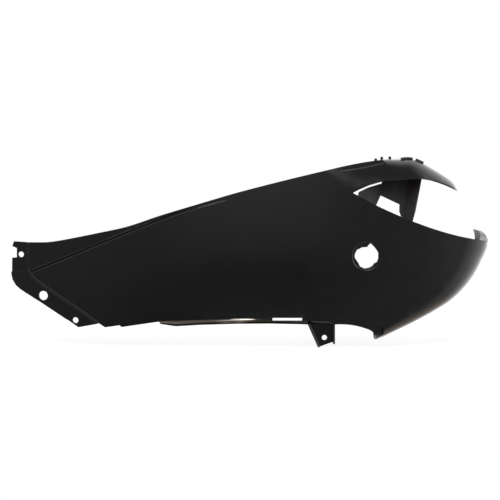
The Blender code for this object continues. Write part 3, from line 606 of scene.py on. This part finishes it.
def border_run(sheet, start, end):
    """Border vertices between two places (x, z) of the outline."""
    following = border_walk(sheet)
    first = min(following, key=lambda v: math.hypot(v.co.x - start[0], v.co.z - start[1]))
    last = min(following, key=lambda v: math.hypot(v.co.x - end[0], v.co.z - end[1]))
    run = [first]
    while run[-1] is not last:
        run.append(following[run[-1]])
    return run


def fold(sheet, run, travel, shares=(1,), first_column=(), last_column=(), finish=POLISHED):
    """Carry the sheet on from a run of border vertices. travel(vertex, share) is the way gone."""
    strips = [list(run)]
    press = sheet.verts.layers.float["press"]
    for k, share in enumerate(shares, 1):
        row = [sheet.verts.new(v.co + Vector(travel(v, share))) for v in run]
        for moved, v in zip(row, run):
            moved[press] = v[press]
        for place, column in ((0, first_column), (-1, last_column)):
            if column:
                sheet.verts.remove(row[place])
                row[place] = column[k]
        near = strips[-1]
        for i in range(len(row) - 1):
            corners = dict.fromkeys((near[i], near[i + 1], row[i + 1], row[i]))
            sheet.faces.new(list(corners)).material_index = finish
        strips.append(row)
    return strips


def from_table(table, x):
    """Read a table of (x, value) at one x."""
    return float(np.interp(x, [row[0] for row in table], [row[1] for row in table]))


def top_travel(v, share):
    """Way in from the top edge: it falls a little at the front, and rises over the arm."""
    depth = from_table(TOP_RETURN, v.co.x) * share
    return 0, depth, depth * from_table(TOP_LIFT, v.co.x)


def bottom_travel(v, share):
    """Way in from the bottom and arch edges."""
    return 0, from_table(BOTTOM_RETURN, v.co.x) * share, 0


def tail_travel(v, share):
    """Way in from the tail edge, rising and turning in at the nose."""
    nose = TAIL_LINE[0]
    from_nose = math.hypot(v.co.x - nose[0], v.co.z - nose[1])
    near_nose = 1 - float(ease(0, NOSE_REACH, from_nose))
    beside_tip = min(from_nose / NOSE_TIP, 1) * near_nose
    depth = from_table(TAIL_RETURN, v.co.x) * share * (1 - NOSE_CUT_BACK * beside_tip)
    k = int(np.hypot(TAIL_LINE[:, 0] - v.co.x, TAIL_LINE[:, 1] - v.co.z).argmin())
    run = np.gradient(TAIL_LINE, axis=0)[k]
    inwards = np.array([run[1], -run[0]]) / np.linalg.norm(run) * TAIL_DRAFT * depth
    lift = NOSE_RISE * math.sin(0.5 * math.pi * share) * near_nose
    turn = NOSE_TURN * share ** 3 * near_nose
    return inwards[0] * (1 - near_nose) - turn, depth, inwards[1] * (1 - near_nose) + lift


def fold_rim(sheet, path):
    """The ledge along the light opening: straight in at the pocket, square to the rim after it.

    Round the nose it narrows to a point.
    """
    pocket_end = POCKET[-1][0] + OVERLAP
    widths = [RIM_LEDGE] * (len(path) - len(NOSE_LEDGE)) + list(NOSE_LEDGE)
    ways = {}
    for i, (v, width) in enumerate(zip(path, widths)):
        before, after = path[max(i - 1, 0)].co, path[min(i + 1, len(path) - 1)].co
        run = Vector((after.x - before.x, after.y - before.y)).normalized()
        ways[v] = (-run.y * width, run.x * width, 0)
        if v.co.x < pocket_end:
            ways[v] = (0, from_table([(row[0], row[2]) for row in POCKET], v.co.x), 0)
    return fold(sheet, path, lambda v, share: ways[v])[1]


def nearest_vertex(vertices, place):
    """The vertex nearest to a place (x, z)."""
    return min(vertices, key=lambda v: math.hypot(v.co.x - place[0], v.co.z - place[1]))


def add_pocket(sheet, runs, floor):
    """The web and column behind the opening, between the floor's and the ceiling's inner edges."""
    arm = [row for row in POCKET if row[1] > CEILING_START]
    arm_places = height_at(runs[ARM_RUN], [row[1] for row in POCKET])
    ceiling_run = border_run(sheet, arm_places[-1], arm_places[-len(arm)])
    depth_at = {v: row[2] for v, row in zip(ceiling_run, reversed(arm))}
    ceiling = fold(sheet, ceiling_run, lambda v, share: (0, depth_at[v], 0), finish=MATT)[1][::-1]
    bottom = [nearest_vertex(floor, place) for place in height_at(runs[BODY_RUN], [row[0] for row in POCKET])]
    top = []
    for row, place in zip(POCKET, arm_places):
        if row[1] > CEILING_START:
            top.append(ceiling[len(top) - len(POCKET) + len(arm)])
            continue
        y = float(smooth_depth(np.array([place]))[0]) + row[2]
        top.append(sheet.verts.new((place[0], y, place[1] - POCKET_GAP)))
    rows = [bottom]
    for k in range(1, WEB_ROWS):
        share = k / WEB_ROWS
        rows.append([sheet.verts.new(a.co.lerp(b.co, share)) for a, b in zip(bottom, top)])
    rows.append(top)
    for near, far in zip(rows, rows[1:]):
        for i in range(len(near) - 1):
            web = sheet.faces.new((near[i], near[i + 1], far[i + 1], far[i]))
            web.material_index = MATT


def add_lip(sheet, ledge):
    """The lip below the bottom ledge: it turns under, and ends in a short upright foot."""
    run = [v for v in ledge if LIP_EDGE[0][0] - OVERLAP < v.co.x < LIP_EDGE[-1][0]]

    def travel(v, share):
        drop = from_table(LIP_EDGE, v.co.x) - v.co.z
        turn = min(share / LIP_TURN, 1)
        return 0, from_table(LIP_INWARDS, v.co.x) * (1 - math.sqrt(1 - turn ** 2)), drop * share

    shares = np.linspace(0, 1, LIP_ROWS + 1)[1:]
    fold(sheet, run, travel, shares, last_column=[run[-1]] * (LIP_ROWS + 1), finish=BRIGHT)


def add_folds(sheet, runs):
    """Everything that turns inwards from the skin's outline."""
    fold(sheet, border_run(sheet, TOP_EDGE[0], TOP_EDGE[-1]), top_travel, FOLD_SHARES)
    tail_run = border_run(sheet, TAIL_EDGE[0], TAIL_EDGE[-1])
    arch_run = border_run(sheet, ARCH_EDGE[0], RETURN_END)
    pocket_start = height_at(runs[BODY_RUN], [POCKET[0][0]])[0]
    body_run = border_run(sheet, pocket_start, BODY_EDGE[-1])
    tail = fold(sheet, tail_run, tail_travel, FOLD_SHARES)
    bottom = fold(sheet, arch_run, bottom_travel, FOLD_SHARES, [row[-1] for row in tail])
    add_lip(sheet, bottom[-1])
    floor = fold_rim(sheet, body_run + [row[0] for row in tail[1:]])
    add_pocket(sheet, runs, floor)


def plain_object(name, data):
    """An object at the origin, in the scene."""
    shown = bpy.data.objects.new(name, data)
    bpy.context.scene.collection.objects.link(shown)
    return shown


def object_of(name, built):
    """A mesh object at the origin from a built mesh, which is freed."""
    data = bpy.data.meshes.new(name)
    built.to_mesh(data)
    built.free()
    return plain_object(name, data)


def values_of(items, name, width=1, kind=float):
    """One value of every item of a mesh, as an array with a row for each item where it is wider than 1."""
    found = np.empty(len(items) * width, dtype=kind)
    items.foreach_get(name, found)
    return found.reshape(-1, width) if width > 1 else found


def apply_modifiers(shape):
    """Replace an object's mesh by its evaluated one."""
    evaluated = shape.evaluated_get(bpy.context.evaluated_depsgraph_get())
    done = bpy.data.meshes.new_from_object(evaluated)
    shape.modifiers.clear()
    shape.data = done


def extruded(name, outline, near, far, lean=0.0, slope=0.0):
    """A closed prism along Y with an outline of (x, z), leaning in X, its faces sloping along X."""
    built = bmesh.new()
    start = outline[0][0]
    front = [built.verts.new((x, near + slope * (x - start), z)) for x, z in outline]
    face = built.faces.new(front)
    lifted = bmesh.ops.extrude_face_region(built, geom=[face])
    back = [v for v in lifted["geom"] if isinstance(v, bmesh.types.BMVert)]
    bmesh.ops.translate(built, vec=(lean * (far - near), far - near, 0), verts=back)
    bmesh.ops.recalc_face_normals(built, faces=built.faces)
    return object_of(name, built)


def combine(target, tool, operation):
    """Boolean union or difference with an exact solver, applied at once; the tool stays."""
    step = target.modifiers.new(tool.name, "BOOLEAN")
    step.operation = operation
    step.object = tool
    step.solver = "EXACT"
    apply_modifiers(target)


def merged(name, shapes):
    """One object from several that keep their own surfaces."""
    built = bmesh.new()
    for shape in shapes:
        built.from_mesh(shape.data)
        bpy.data.objects.remove(shape)
    return object_of(name, built)


def face_depth(x, z):
    """Depth of the outer face at one place."""
    return float(skin_depth((x, z))[0])


def joined_pieces():
    """Collar, boss, bracket, tabs and ribs, each a closed solid that reaches into the skin."""
    pieces = []
    y = face_depth(LOCK_X, LOCK_Z)
    collar = ring(LOCK_X, LOCK_Z, LOCK_COLLAR_RADIUS)[:-1]
    pieces.append(extruded("collar", collar, y + WALL / 2, y + LOCK_COLLAR_DEPTH))
    y = face_depth(SEAT_X, SEAT_Z)
    boss = ring(SEAT_X, SEAT_Z, SEAT_BOSS_RADIUS)[:-1]
    pieces.append(extruded("seat_boss", boss, y + SEAT_BOSS_START, y + SEAT_BOSS_DEPTH))
    pieces.append(bracket())
    tabs = []
    for x, height in TOP_TABS:
        z = float(np.interp(x, TOP_LINE[:, 0], TOP_LINE[:, 1]))
        y = face_depth(x, z) + TAB_BACK
        tabs.append([(x, y, z - WALL / 2), (x, y, z + height)])
    ribs = [roof_line(start, end) for start, end in ROOF_RIBS]
    tree = moulded_rib_tree()
    pieces.append(along_paths("tabs", tabs, tree, TAB_WIDTH, WALL))
    pieces.append(along_paths("ribs", ribs, tree, WALL, RIB_RISE + RIB_SINK))
    return pieces


def bracket():
    """The hanging bracket: a plate between two deeper side walls."""
    front, slope = bracket_front(BRACKET_PLATE[0][0])
    back = front + BRACKET_THICKNESS
    plate = extruded("bracket", BRACKET_PLATE, front, back, slope=slope)
    for outline in (BRACKET_LEFT_WALL, BRACKET_RIGHT_WALL):
        front, slope = bracket_front(outline[0][0])
        near, far = front - BRACKET_WALL_DEPTH, front + BRACKET_THICKNESS + OVERLAP
        turned = slope + BRACKET_WALL_TURN
        wall = extruded("bracket_wall", outline, near, far, -slope, turned)
        soft = wall.modifiers.new("soft_front", "BEVEL")
        soft.width = BRACKET_SOFTENING
        soft.segments = ROUNDING_COUNT
        apply_modifiers(wall)
        combine(plate, wall, "UNION")
        bpy.data.objects.remove(wall)
    return plate


def bracket_front(x):
    """Depth of the bracket plate's front at x, within the lip's wall all along, and its slope."""
    (end_x, end_z), (start_x, start_z) = BOTTOM_EDGE[BRACKET_END], BOTTOM_EDGE[BRACKET_START]
    end, start = face_depth(end_x, end_z), face_depth(start_x, start_z)
    slope = (end - start) / (end_x - start_x)
    return start + slope * (x - start_x) + BRACKET_SETBACK, slope


def roof_line(start, end):
    """The middle line of a low rib across the roof: it follows the roof's line and its slope."""
    x = np.linspace(start, end, RIB_PLACES)
    z = np.interp(x, TOP_LINE[:, 0], TOP_LINE[:, 1])
    depth = skin_depth(np.column_stack([x, z - RIB_FACE_DROP])) + WALL / 2
    return np.column_stack([x, depth, z + (RIB_RISE - RIB_SINK) / 2]).tolist()


def moulded_rib_tree():
    """Geometry Nodes that give each path a section with rounded corners, as tabs and ribs have."""
    tree = bpy.data.node_groups.new("moulded_rib", "GeometryNodeTree")
    kinds = {"Paths": "Geometry", "Across": "Float", "Up": "Float", "Rounding": "Float",
             "Finish": "Material"}
    for name, kind in kinds.items():
        tree.interface.new_socket(name, in_out="INPUT", socket_type=f"NodeSocket{kind}")
    tree.interface.new_socket("Ribs", in_out="OUTPUT", socket_type="NodeSocketGeometry")
    given = node(tree, "NodeGroupInput").outputs
    paths = node(tree, "GeometryNodeMeshToCurve", {"Mesh": given["Paths"]})
    section = node(tree, "GeometryNodeCurvePrimitiveQuadrilateral",
                   {"Width": given["Across"], "Height": given["Up"]})
    soft = node(tree, "GeometryNodeFilletCurve", {"Curve": section.outputs[0], "Radius": given["Rounding"],
                                                  "Count": ROUNDING_COUNT}, mode="POLY")
    solid = node(tree, "GeometryNodeCurveToMesh", {"Curve": paths.outputs[0],
                                                   "Profile Curve": soft.outputs[0], "Fill Caps": True})
    real = node(tree, "GeometryNodeRealizeInstances", {"Geometry": solid.outputs[0]})
    done = node(tree, "GeometryNodeSetMaterial", {"Geometry": real.outputs[0], "Material": given["Finish"]})
    node(tree, "NodeGroupOutput", {"Ribs": done.outputs[0]})
    return tree


def along_paths(name, paths, tree, across, up):
    """One plain mesh of the tree's tabs or ribs along paths of (x, y, z)."""
    data = bpy.data.meshes.new(name)
    places = [place for path in paths for place in path]
    starts = np.cumsum([0] + [len(path) for path in paths])
    edges = [(i, i + 1) for k, path in enumerate(paths) for i in range(starts[k], starts[k] + len(path) - 1)]
    data.from_pydata(places, edges, [])
    shape = plain_object(name, data)
    step = shape.modifiers.new(name, "NODES")
    step.node_group = tree
    given = {"Across": across, "Up": up, "Rounding": RIB_ROUNDING, "Finish": FINISHES[MATT]}
    for item in tree.interface.items_tree:
        if item.name in given:
            step[item.identifier] = given[item.name]
    apply_modifiers(shape)
    # The joined panel keeps only the place of each face's finish in its list
    shape.data.polygons.foreach_set("material_index", [MATT] * len(shape.data.polygons))
    return shape


def cutters():
    """Holes, each cut right through the wall that it is in."""
    tools = []
    for x, z, diameter in SCREW_HOLES:
        y = face_depth(x, z)
        bore = ring(x, z, diameter / 2)[:-1]
        tools.append(through("screw_hole", bore, y, WALL, math.tan(FLANGE_TURN)))
    y = face_depth(LOCK_X, LOCK_Z)
    lock = [(LOCK_X + dx, LOCK_Z + dz) for dx, dz in LOCK_OUTLINE]
    tools.append(through("lock_hole", lock, y, LOCK_COLLAR_DEPTH))
    y = face_depth(SEAT_X, SEAT_Z)
    slope = (face_depth(SEAT_X + OVERLAP, SEAT_Z) - y) / OVERLAP
    seat = ring(SEAT_X, SEAT_Z, SEAT_RADIUS)[:-1]
    start = y + slope * SEAT_RADIUS
    tools.append(extruded("seat", seat, start - CUT_MARGIN, start + SEAT_DEPTH, slope=slope))
    bore = ring(SEAT_X, SEAT_Z, SEAT_BORE_RADIUS)[:-1]
    tools.append(extruded("seat_bore", bore, y, y + SEAT_BORE_DEPTH))
    x, z, diameter = BRACKET_HOLE
    y, _ = bracket_front(x)
    bore = ring(x, z, diameter / 2)[:-1]
    tools.append(through("bracket_hole", bore, y, BRACKET_THICKNESS))
    slot = [(SLOT_START, SLOT_BOTTOM), (SLOT_END, SLOT_BOTTOM)]
    slot += [(SLOT_END, SLOT_TOP), (SLOT_START, SLOT_TOP)]
    y = face_depth(SLOT_START, SLOT_TOP)
    tools.append(through("bottom_slot", slot, y, BOTTOM_RETURN[0][1] + 2 * WALL))
    y = face_depth(WEB_X, WINDOW[1][1])
    tools.append(extruded("window", WINDOW, y + WEB_FRONT, y + WEB_BACK + CUT_MARGIN))
    return tools


def through(name, outline, face, thickness, lean=0.0):
    """A cutter that starts in front of a face and ends behind the wall."""
    placed = [(x - lean * CUT_MARGIN, z) for x, z in outline]
    return extruded(name, placed, face - CUT_MARGIN, face + thickness + CUT_MARGIN, lean)


def sheet_to_shell(sheet):
    """Thicken the smooth sheet, then press its steps into both faces at once. The inner face is matt."""
    shell = object_of("fairing_shell", sheet)
    wall = shell.modifiers.new("wall", "SOLIDIFY")
    wall.thickness = WALL
    wall.offset = -1
    wall.use_even_offset = True
    for finish in FINISHES:
        shell.data.materials.append(finish)
    apply_modifiers(shell)
    data = shell.data
    places = values_of(data.vertices, "co", 3)
    places[:, 1] += values_of(data.attributes["press"].data, "value")
    data.vertices.foreach_set("co", places.ravel())
    data.attributes.remove(data.attributes["press"])
    finish = values_of(data.polygons, "material_index", kind=np.int32)
    finish[values_of(data.polygons, "normal", 3)[:, 1] > BACKWARDS] = MATT
    data.polygons.foreach_set("material_index", finish)
    return shell


def keep_in_box(data):
    """Take back the hundredths of a millimetre by which the finer skin stands out of the CAD's box."""
    data.vertices.foreach_set("co", np.clip(values_of(data.vertices, "co", 3), *CAD_BOX).ravel())


def outer_normals(data):
    """Give the moulded face the exact direction of its surface at every corner that lies on it."""
    places = values_of(data.vertices, "co", 3)
    flat = places[:, [0, 2]]
    on_skin = np.abs(places[:, 1] - skin_depth(flat)) < SKIN_GAP
    slopes = []
    for move in ((NORMAL_STEP, 0), (0, NORMAL_STEP)):
        slopes.append((skin_depth(flat + move) - skin_depth(flat - move)) / (2 * NORMAL_STEP))
    exact = np.column_stack([slopes[0], -np.ones(len(flat)), slopes[1]])
    exact /= np.linalg.norm(exact, axis=1)[:, None]
    corner = values_of(data.loops, "vertex_index", kind=int)
    sides = values_of(data.polygons, "loop_total", kind=int)
    facing = np.repeat(values_of(data.polygons, "normal", 3), sides, axis=0)
    kept = values_of(data.corner_normals, "vector", 3)
    agrees = (exact[corner] * facing).sum(1) > SAME_WAY
    starts = np.concatenate([[0], np.cumsum(sides)[:-1]])
    whole = np.logical_and.reduceat(on_skin[corner] & agrees, starts)
    use = np.repeat(whole, sides)
    kept[use] = exact[corner][use]
    data.normals_split_custom_set(kept.tolist())


def node(tree, kind, sockets=(), stops=(), **settings):
    """Add a node. sockets gives a value, or another node's output, for an input's name or number."""
    made = tree.nodes.new(kind)
    for name, value in settings.items():
        setattr(made, name, value)
    for name, value in dict(sockets).items():
        if isinstance(value, bpy.types.NodeSocket):
            tree.links.new(value, made.inputs[name])
        else:
            made.inputs[name].default_value = value
    for k, (place, shade) in enumerate(stops):
        ramp = made.color_ramp.elements
        stop = ramp[k] if k < 2 else ramp.new(place)
        stop.position = place
        stop.color = shade
    return made


def colour(code):
    """An sRGB hex code as linear colour."""
    parts = [int(code[i:i + 2], 16) / 255 for i in (1, 3, 5)]
    return [p / 12.92 if p <= 0.04045 else ((p + 0.055) / 1.055) ** 2.4 for p in parts] + [1]


def moulded_abs(name, dark, pale, smooth, rough, grain_strength):
    """Black ABS as one kind of mould face leaves it: two blacks, two roughnesses and a texture."""
    material = bpy.data.materials.new(name)
    material.use_nodes = True
    tree = material.node_tree
    shader = tree.nodes["Principled BSDF"]
    place = node(tree, "ShaderNodeTexCoord").outputs["Object"]
    clouds, smears, grain = [
        node(tree, "ShaderNodeTexNoise", {"Vector": place, "Scale": scale, "Detail": detail}).outputs["Fac"]
        for scale, detail in PATTERNS]
    # Broad, faint clouds: the black is a little greyer where hands and cloths have dulled it
    tint = node(tree, "ShaderNodeValToRGB", {"Fac": clouds},
                stops=[(CLOUD_LIMITS[0], colour(dark)), (CLOUD_LIMITS[1], colour(pale))])
    tree.links.new(tint.outputs["Color"], shader.inputs["Base Color"])
    # Gloss that varies by a few hundredths, so that long highlights aren't perfectly even
    gloss = node(tree, "ShaderNodeMapRange", {"Value": smears, **between(SMEAR_LIMITS, (smooth, rough))})
    tree.links.new(gloss.outputs["Result"], shader.inputs["Roughness"])
    # The mould's texture: about 1.5 mm here, coarser than the real one, which is too fine to show
    bump = node(tree, "ShaderNodeBump", {"Height": grain, "Strength": grain_strength,
                                         "Distance": GRAIN_HEIGHT})
    tree.links.new(bump.outputs["Normal"], shader.inputs["Normal"])
    shader.inputs["IOR"].default_value = PLASTIC_IOR
    return material


def finishes():
    """The moulding's three finishes, in the order of their places."""
    return [
        # Satin gloss outside: long, soft reflections of the room, in a neutral near-black
        moulded_abs("satin_black_abs_from_a_polished_mould_face", "#0e0e0f", "#131313", 0.18, 0.24, 0.12),
        # Matt and a little brown inside and on the tabs and ribs, where the mould was left as machined:
        # hardly any reflection
        moulded_abs("matt_black_abs_from_a_machined_mould_face", "#151312", "#211c19", 0.58, 0.72, 0.3),
        # Brighter along the bottom lip, which slid against the mould: one crisp highlight
        moulded_abs("bright_black_abs_burnished_by_a_sliding_mould", "#0e0d0c", "#131211", 0.03, 0.045,
                    0.004),
    ]


def grey(value):
    """A plain grey."""
    return (value, value, value, 1)


def between(limits, tones=(0.0, 1.0)):
    """A Map Range node's values, from one pair of limits to another."""
    return {"From Min": limits[0], "From Max": limits[1], "To Min": tones[0], "To Max": tones[1]}


def white_surroundings():
    """White behind the part. Its gloss reflects a dim room in front and the white sweep around it."""
    world = bpy.data.worlds.new("white_sweep_with_a_dim_room_in_front")
    bpy.context.scene.world = world
    world.use_nodes = True
    tree = world.node_tree
    tree.nodes.clear()
    path = node(tree, "ShaderNodeLightPath")
    way = node(tree, "ShaderNodeSeparateXYZ", {0: node(tree, "ShaderNodeTexCoord").outputs["Generated"]})
    x, y, z = way.outputs
    # The room in front: pale above a slanting edge, with a dark table below and left of the middle
    above = node(tree, "ShaderNodeMath", {0: x, 1: -TABLE_SLANT, 2: z}, operation="MULTIPLY_ADD")
    pale, left, right = [
        node(tree, "ShaderNodeMapRange", {"Value": value, **between(limits)},
             interpolation_type="SMOOTHSTEP").outputs[0]
        for value, limits in ((above.outputs[0], PALE_EDGE), (x, TABLE_LEFT), (x, TABLE_RIGHT))]
    table = node(tree, "ShaderNodeMath", {0: left, 1: right}, operation="MULTIPLY")
    low = node(tree, "ShaderNodeMapRange", {"Value": table.outputs[0], **between((0.0, 1.0), TABLE_TONES)})
    wall = node(tree, "ShaderNodeMapRange", {"Value": z, **between(WALL_RISE, WALL_TONES)})
    high = node(tree, "ShaderNodeMix", {0: right, 2: ROOM, 3: wall.outputs[0]})
    ahead = node(tree, "ShaderNodeMix", {0: pale, 2: low.outputs[0], 3: high.outputs[0]})
    # The white sweep at the sides, behind, overhead and under the part, with dark boards low down
    across, back, up = [
        node(tree, "ShaderNodeMapRange", {"Value": value, **between(ALL_WAYS)}).outputs[0]
        for value in (x, y, z)]
    sweep, behind, under, boards, warmth = [
        node(tree, "ShaderNodeValToRGB", {0: value},
             stops=[(place, grey(tone)) for place, tone in tones]).outputs[0]
        for value, tones in ((across, BESIDE), (back, BEHIND), (up, UNDER), (across, BOARDS), (up, WARMTH))]
    lowness = node(tree, "ShaderNodeMapRange", {"Value": z, **between(BOARDS_RISE, (1.0, 0.0))})
    kept = node(tree, "ShaderNodeMix", {0: lowness.outputs[0], 2: 1.0, 3: boards})
    for operation, value in (("MAXIMUM", behind), ("MAXIMUM", under), ("MULTIPLY", kept.outputs[0]),
                             ("MULTIPLY", SWEEP_GAIN), ("MAXIMUM", ahead.outputs[0])):
        sweep = node(tree, "ShaderNodeMath", {0: sweep, 1: value}, operation=operation).outputs[0]
    # The lamp: its edges at either side of a leaning middle, its top, and only in front
    middle = node(tree, "ShaderNodeMapRange", {"Value": z, **between(LAMP_LEAN, LAMP_X)})
    width = node(tree, "ShaderNodeMapRange", {"Value": z, **between(LAMP_WIDENING, LAMP_HALF_WIDTH)})
    away = node(tree, "ShaderNodeMath", {0: x, 1: middle.outputs[0]}, operation="SUBTRACT")
    away = node(tree, "ShaderNodeMath", {0: away.outputs[0]}, operation="ABSOLUTE")
    gap = node(tree, "ShaderNodeMath", {0: away.outputs[0], 1: width.outputs[0]}, operation="SUBTRACT")
    spot = node(tree, "ShaderNodeMapRange", {"Value": gap.outputs[0], **between(LAMP_EDGE)}).outputs[0]
    for value, limits in ((z, LAMP_TOP), (y, LAMP_FRONT)):
        share = node(tree, "ShaderNodeMapRange", {"Value": value, **between(limits)})
        spot = node(tree, "ShaderNodeMath", {0: spot, 1: share.outputs[0]}, operation="MULTIPLY").outputs[0]
    seen = node(tree, "ShaderNodeMath", {0: spot, 1: LAMP_STRENGTH, 2: sweep}, operation="MULTIPLY_ADD")
    strength = node(tree, "ShaderNodeMix", {0: path.outputs["Is Glossy Ray"], 2: FILL_LIGHT,
                                            3: seen.outputs[0]})
    # Warm under the part, where the sweep takes the colour of the boards
    tint = node(tree, "ShaderNodeMix", {0: warmth, 6: grey(1.0), 7: WARM_BOARDS}, data_type="RGBA")
    around = node(tree, "ShaderNodeBackground", {"Color": tint.outputs[2], "Strength": strength.outputs[0]})
    white = node(tree, "ShaderNodeBackground", {"Color": grey(1.0)})
    both = node(tree, "ShaderNodeMixShader", {0: path.outputs["Is Camera Ray"],
                                              1: around.outputs[0], 2: white.outputs[0]})
    node(tree, "ShaderNodeOutputWorld", {"Surface": both.outputs[0]})


def lamp(name, place, target, size, power):
    """A soft square lamp that faces a point."""
    light = bpy.data.lights.new(name, "AREA")
    light.shape = "SQUARE"
    light.size = size
    light.energy = power
    shown = plain_object(name, light)
    shown.location = place
    shown.rotation_euler = (Vector(target) - Vector(place)).to_track_quat("-Z", "Y").to_euler()


def white_floor():
    """A wide white floor under the part, which keeps its soft shadow."""
    z = CAD_BOX[0].z - FLOOR_GAP
    built = bmesh.new()
    ways = ((-1, -1), (1, -1), (1, 1), (-1, 1))
    built.faces.new([built.verts.new((x * FLOOR_REACH, y * FLOOR_REACH, z)) for x, y in ways])
    floor = object_of("white_floor", built)
    floor.visible_glossy = False
    material = bpy.data.materials.new("white_painted_floor")
    material.use_nodes = True
    tree = material.node_tree
    tree.nodes.clear()
    path = node(tree, "ShaderNodeLightPath")
    paint = node(tree, "ShaderNodeBsdfDiffuse", {"Color": colour(FLOOR_PAINT)})
    lift = node(tree, "ShaderNodeEmission", {"Color": grey(FLOOR_LIFT),
                                             "Strength": path.outputs["Is Camera Ray"]})
    near = node(tree, "ShaderNodeAddShader", {0: paint.outputs[0], 1: lift.outputs[0]})
    # Away from the part the floor fades into the white surroundings, with no horizon
    place = node(tree, "ShaderNodeTexCoord").outputs["Object"]
    away = node(tree, "ShaderNodeVectorMath", {0: place, 1: FLOOR_MIDDLE}, operation="DISTANCE")
    fade = node(tree, "ShaderNodeMapRange", {"Value": away.outputs["Value"],
                                             **between((FADE_START, FADE_END))},
                interpolation_type="SMOOTHSTEP")
    far = node(tree, "ShaderNodeMath", {0: fade.outputs["Result"], 1: path.outputs["Is Camera Ray"]},
               operation="MULTIPLY")
    white = node(tree, "ShaderNodeEmission", {"Color": grey(1.0)})
    both = node(tree, "ShaderNodeMixShader", {0: far.outputs[0], 1: near.outputs[0],
                                              2: white.outputs[0]})
    node(tree, "ShaderNodeOutputMaterial", {"Surface": both.outputs[0]})
    floor.data.materials.append(material)


def camera():
    """The photograph's view: a little above the panel, square on, from 2.2 m."""
    data = bpy.data.cameras.new("photo_camera")
    data.sensor_width = SENSOR
    data.lens = SENSOR * CAMERA_DISTANCE / VIEW_WIDTH
    shown = plain_object("photo_camera", data)
    back = Vector((0, -math.cos(CAMERA_RISE), math.sin(CAMERA_RISE)))
    shown.location = Vector(CAMERA_TARGET) + back * CAMERA_DISTANCE
    shown.rotation_euler = (-back).to_track_quat("-Z", "Y").to_euler()
    bpy.context.scene.camera = shown


def fine_panel():
    """The whole moulding: skin, folds, joined pieces and holes."""
    runs = outline_runs()
    sheet = formed_skin(runs)
    add_folds(sheet, runs)
    shell = sheet_to_shell(sheet)
    fixings = merged("fixings", joined_pieces())
    holes = merged("holes", cutters())
    for solid in (shell, fixings):
        combine(solid, holes, "DIFFERENCE")
    bpy.data.objects.remove(holes)
    panel = merged("moulded_panel", [shell, fixings])
    data = panel.data
    keep_in_box(data)
    for finish in FINISHES:
        data.materials.append(finish)
    data.shade_smooth()
    data.set_sharp_from_angle(angle=SHARP_ANGLE)
    outer_normals(data)
    return panel


TOP_FINE = curve_through(TOP_EDGE, ROUND_SPACING)
TAIL_FINE = curve_through(TAIL_EDGE, ROUND_SPACING)
TOP_LINE = curve_through(TOP_EDGE, CELL)
TAIL_LINE = curve_through(TAIL_EDGE, CELL)
WEDGE_LINE = np.vstack([curve_through(WEDGE[:WEDGE_TIP + 1], CELL)[:-1],
                        curve_through(WEDGE[WEDGE_TIP:], CELL)])
ARM_LINE = with_corners(ARM_FOLD + ARM_FOLD_FAR, CELL)
SHOULDER_LINE = curve_through(SHOULDER, CELL)

FINISHES = finishes()

panel = fine_panel()
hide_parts("fairing_panel")
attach(panel, "root")

bpy.context.scene.view_settings.view_transform = "Standard"
white_surroundings()
white_floor()
for box in SOFTBOXES:
    lamp(*box)
camera()
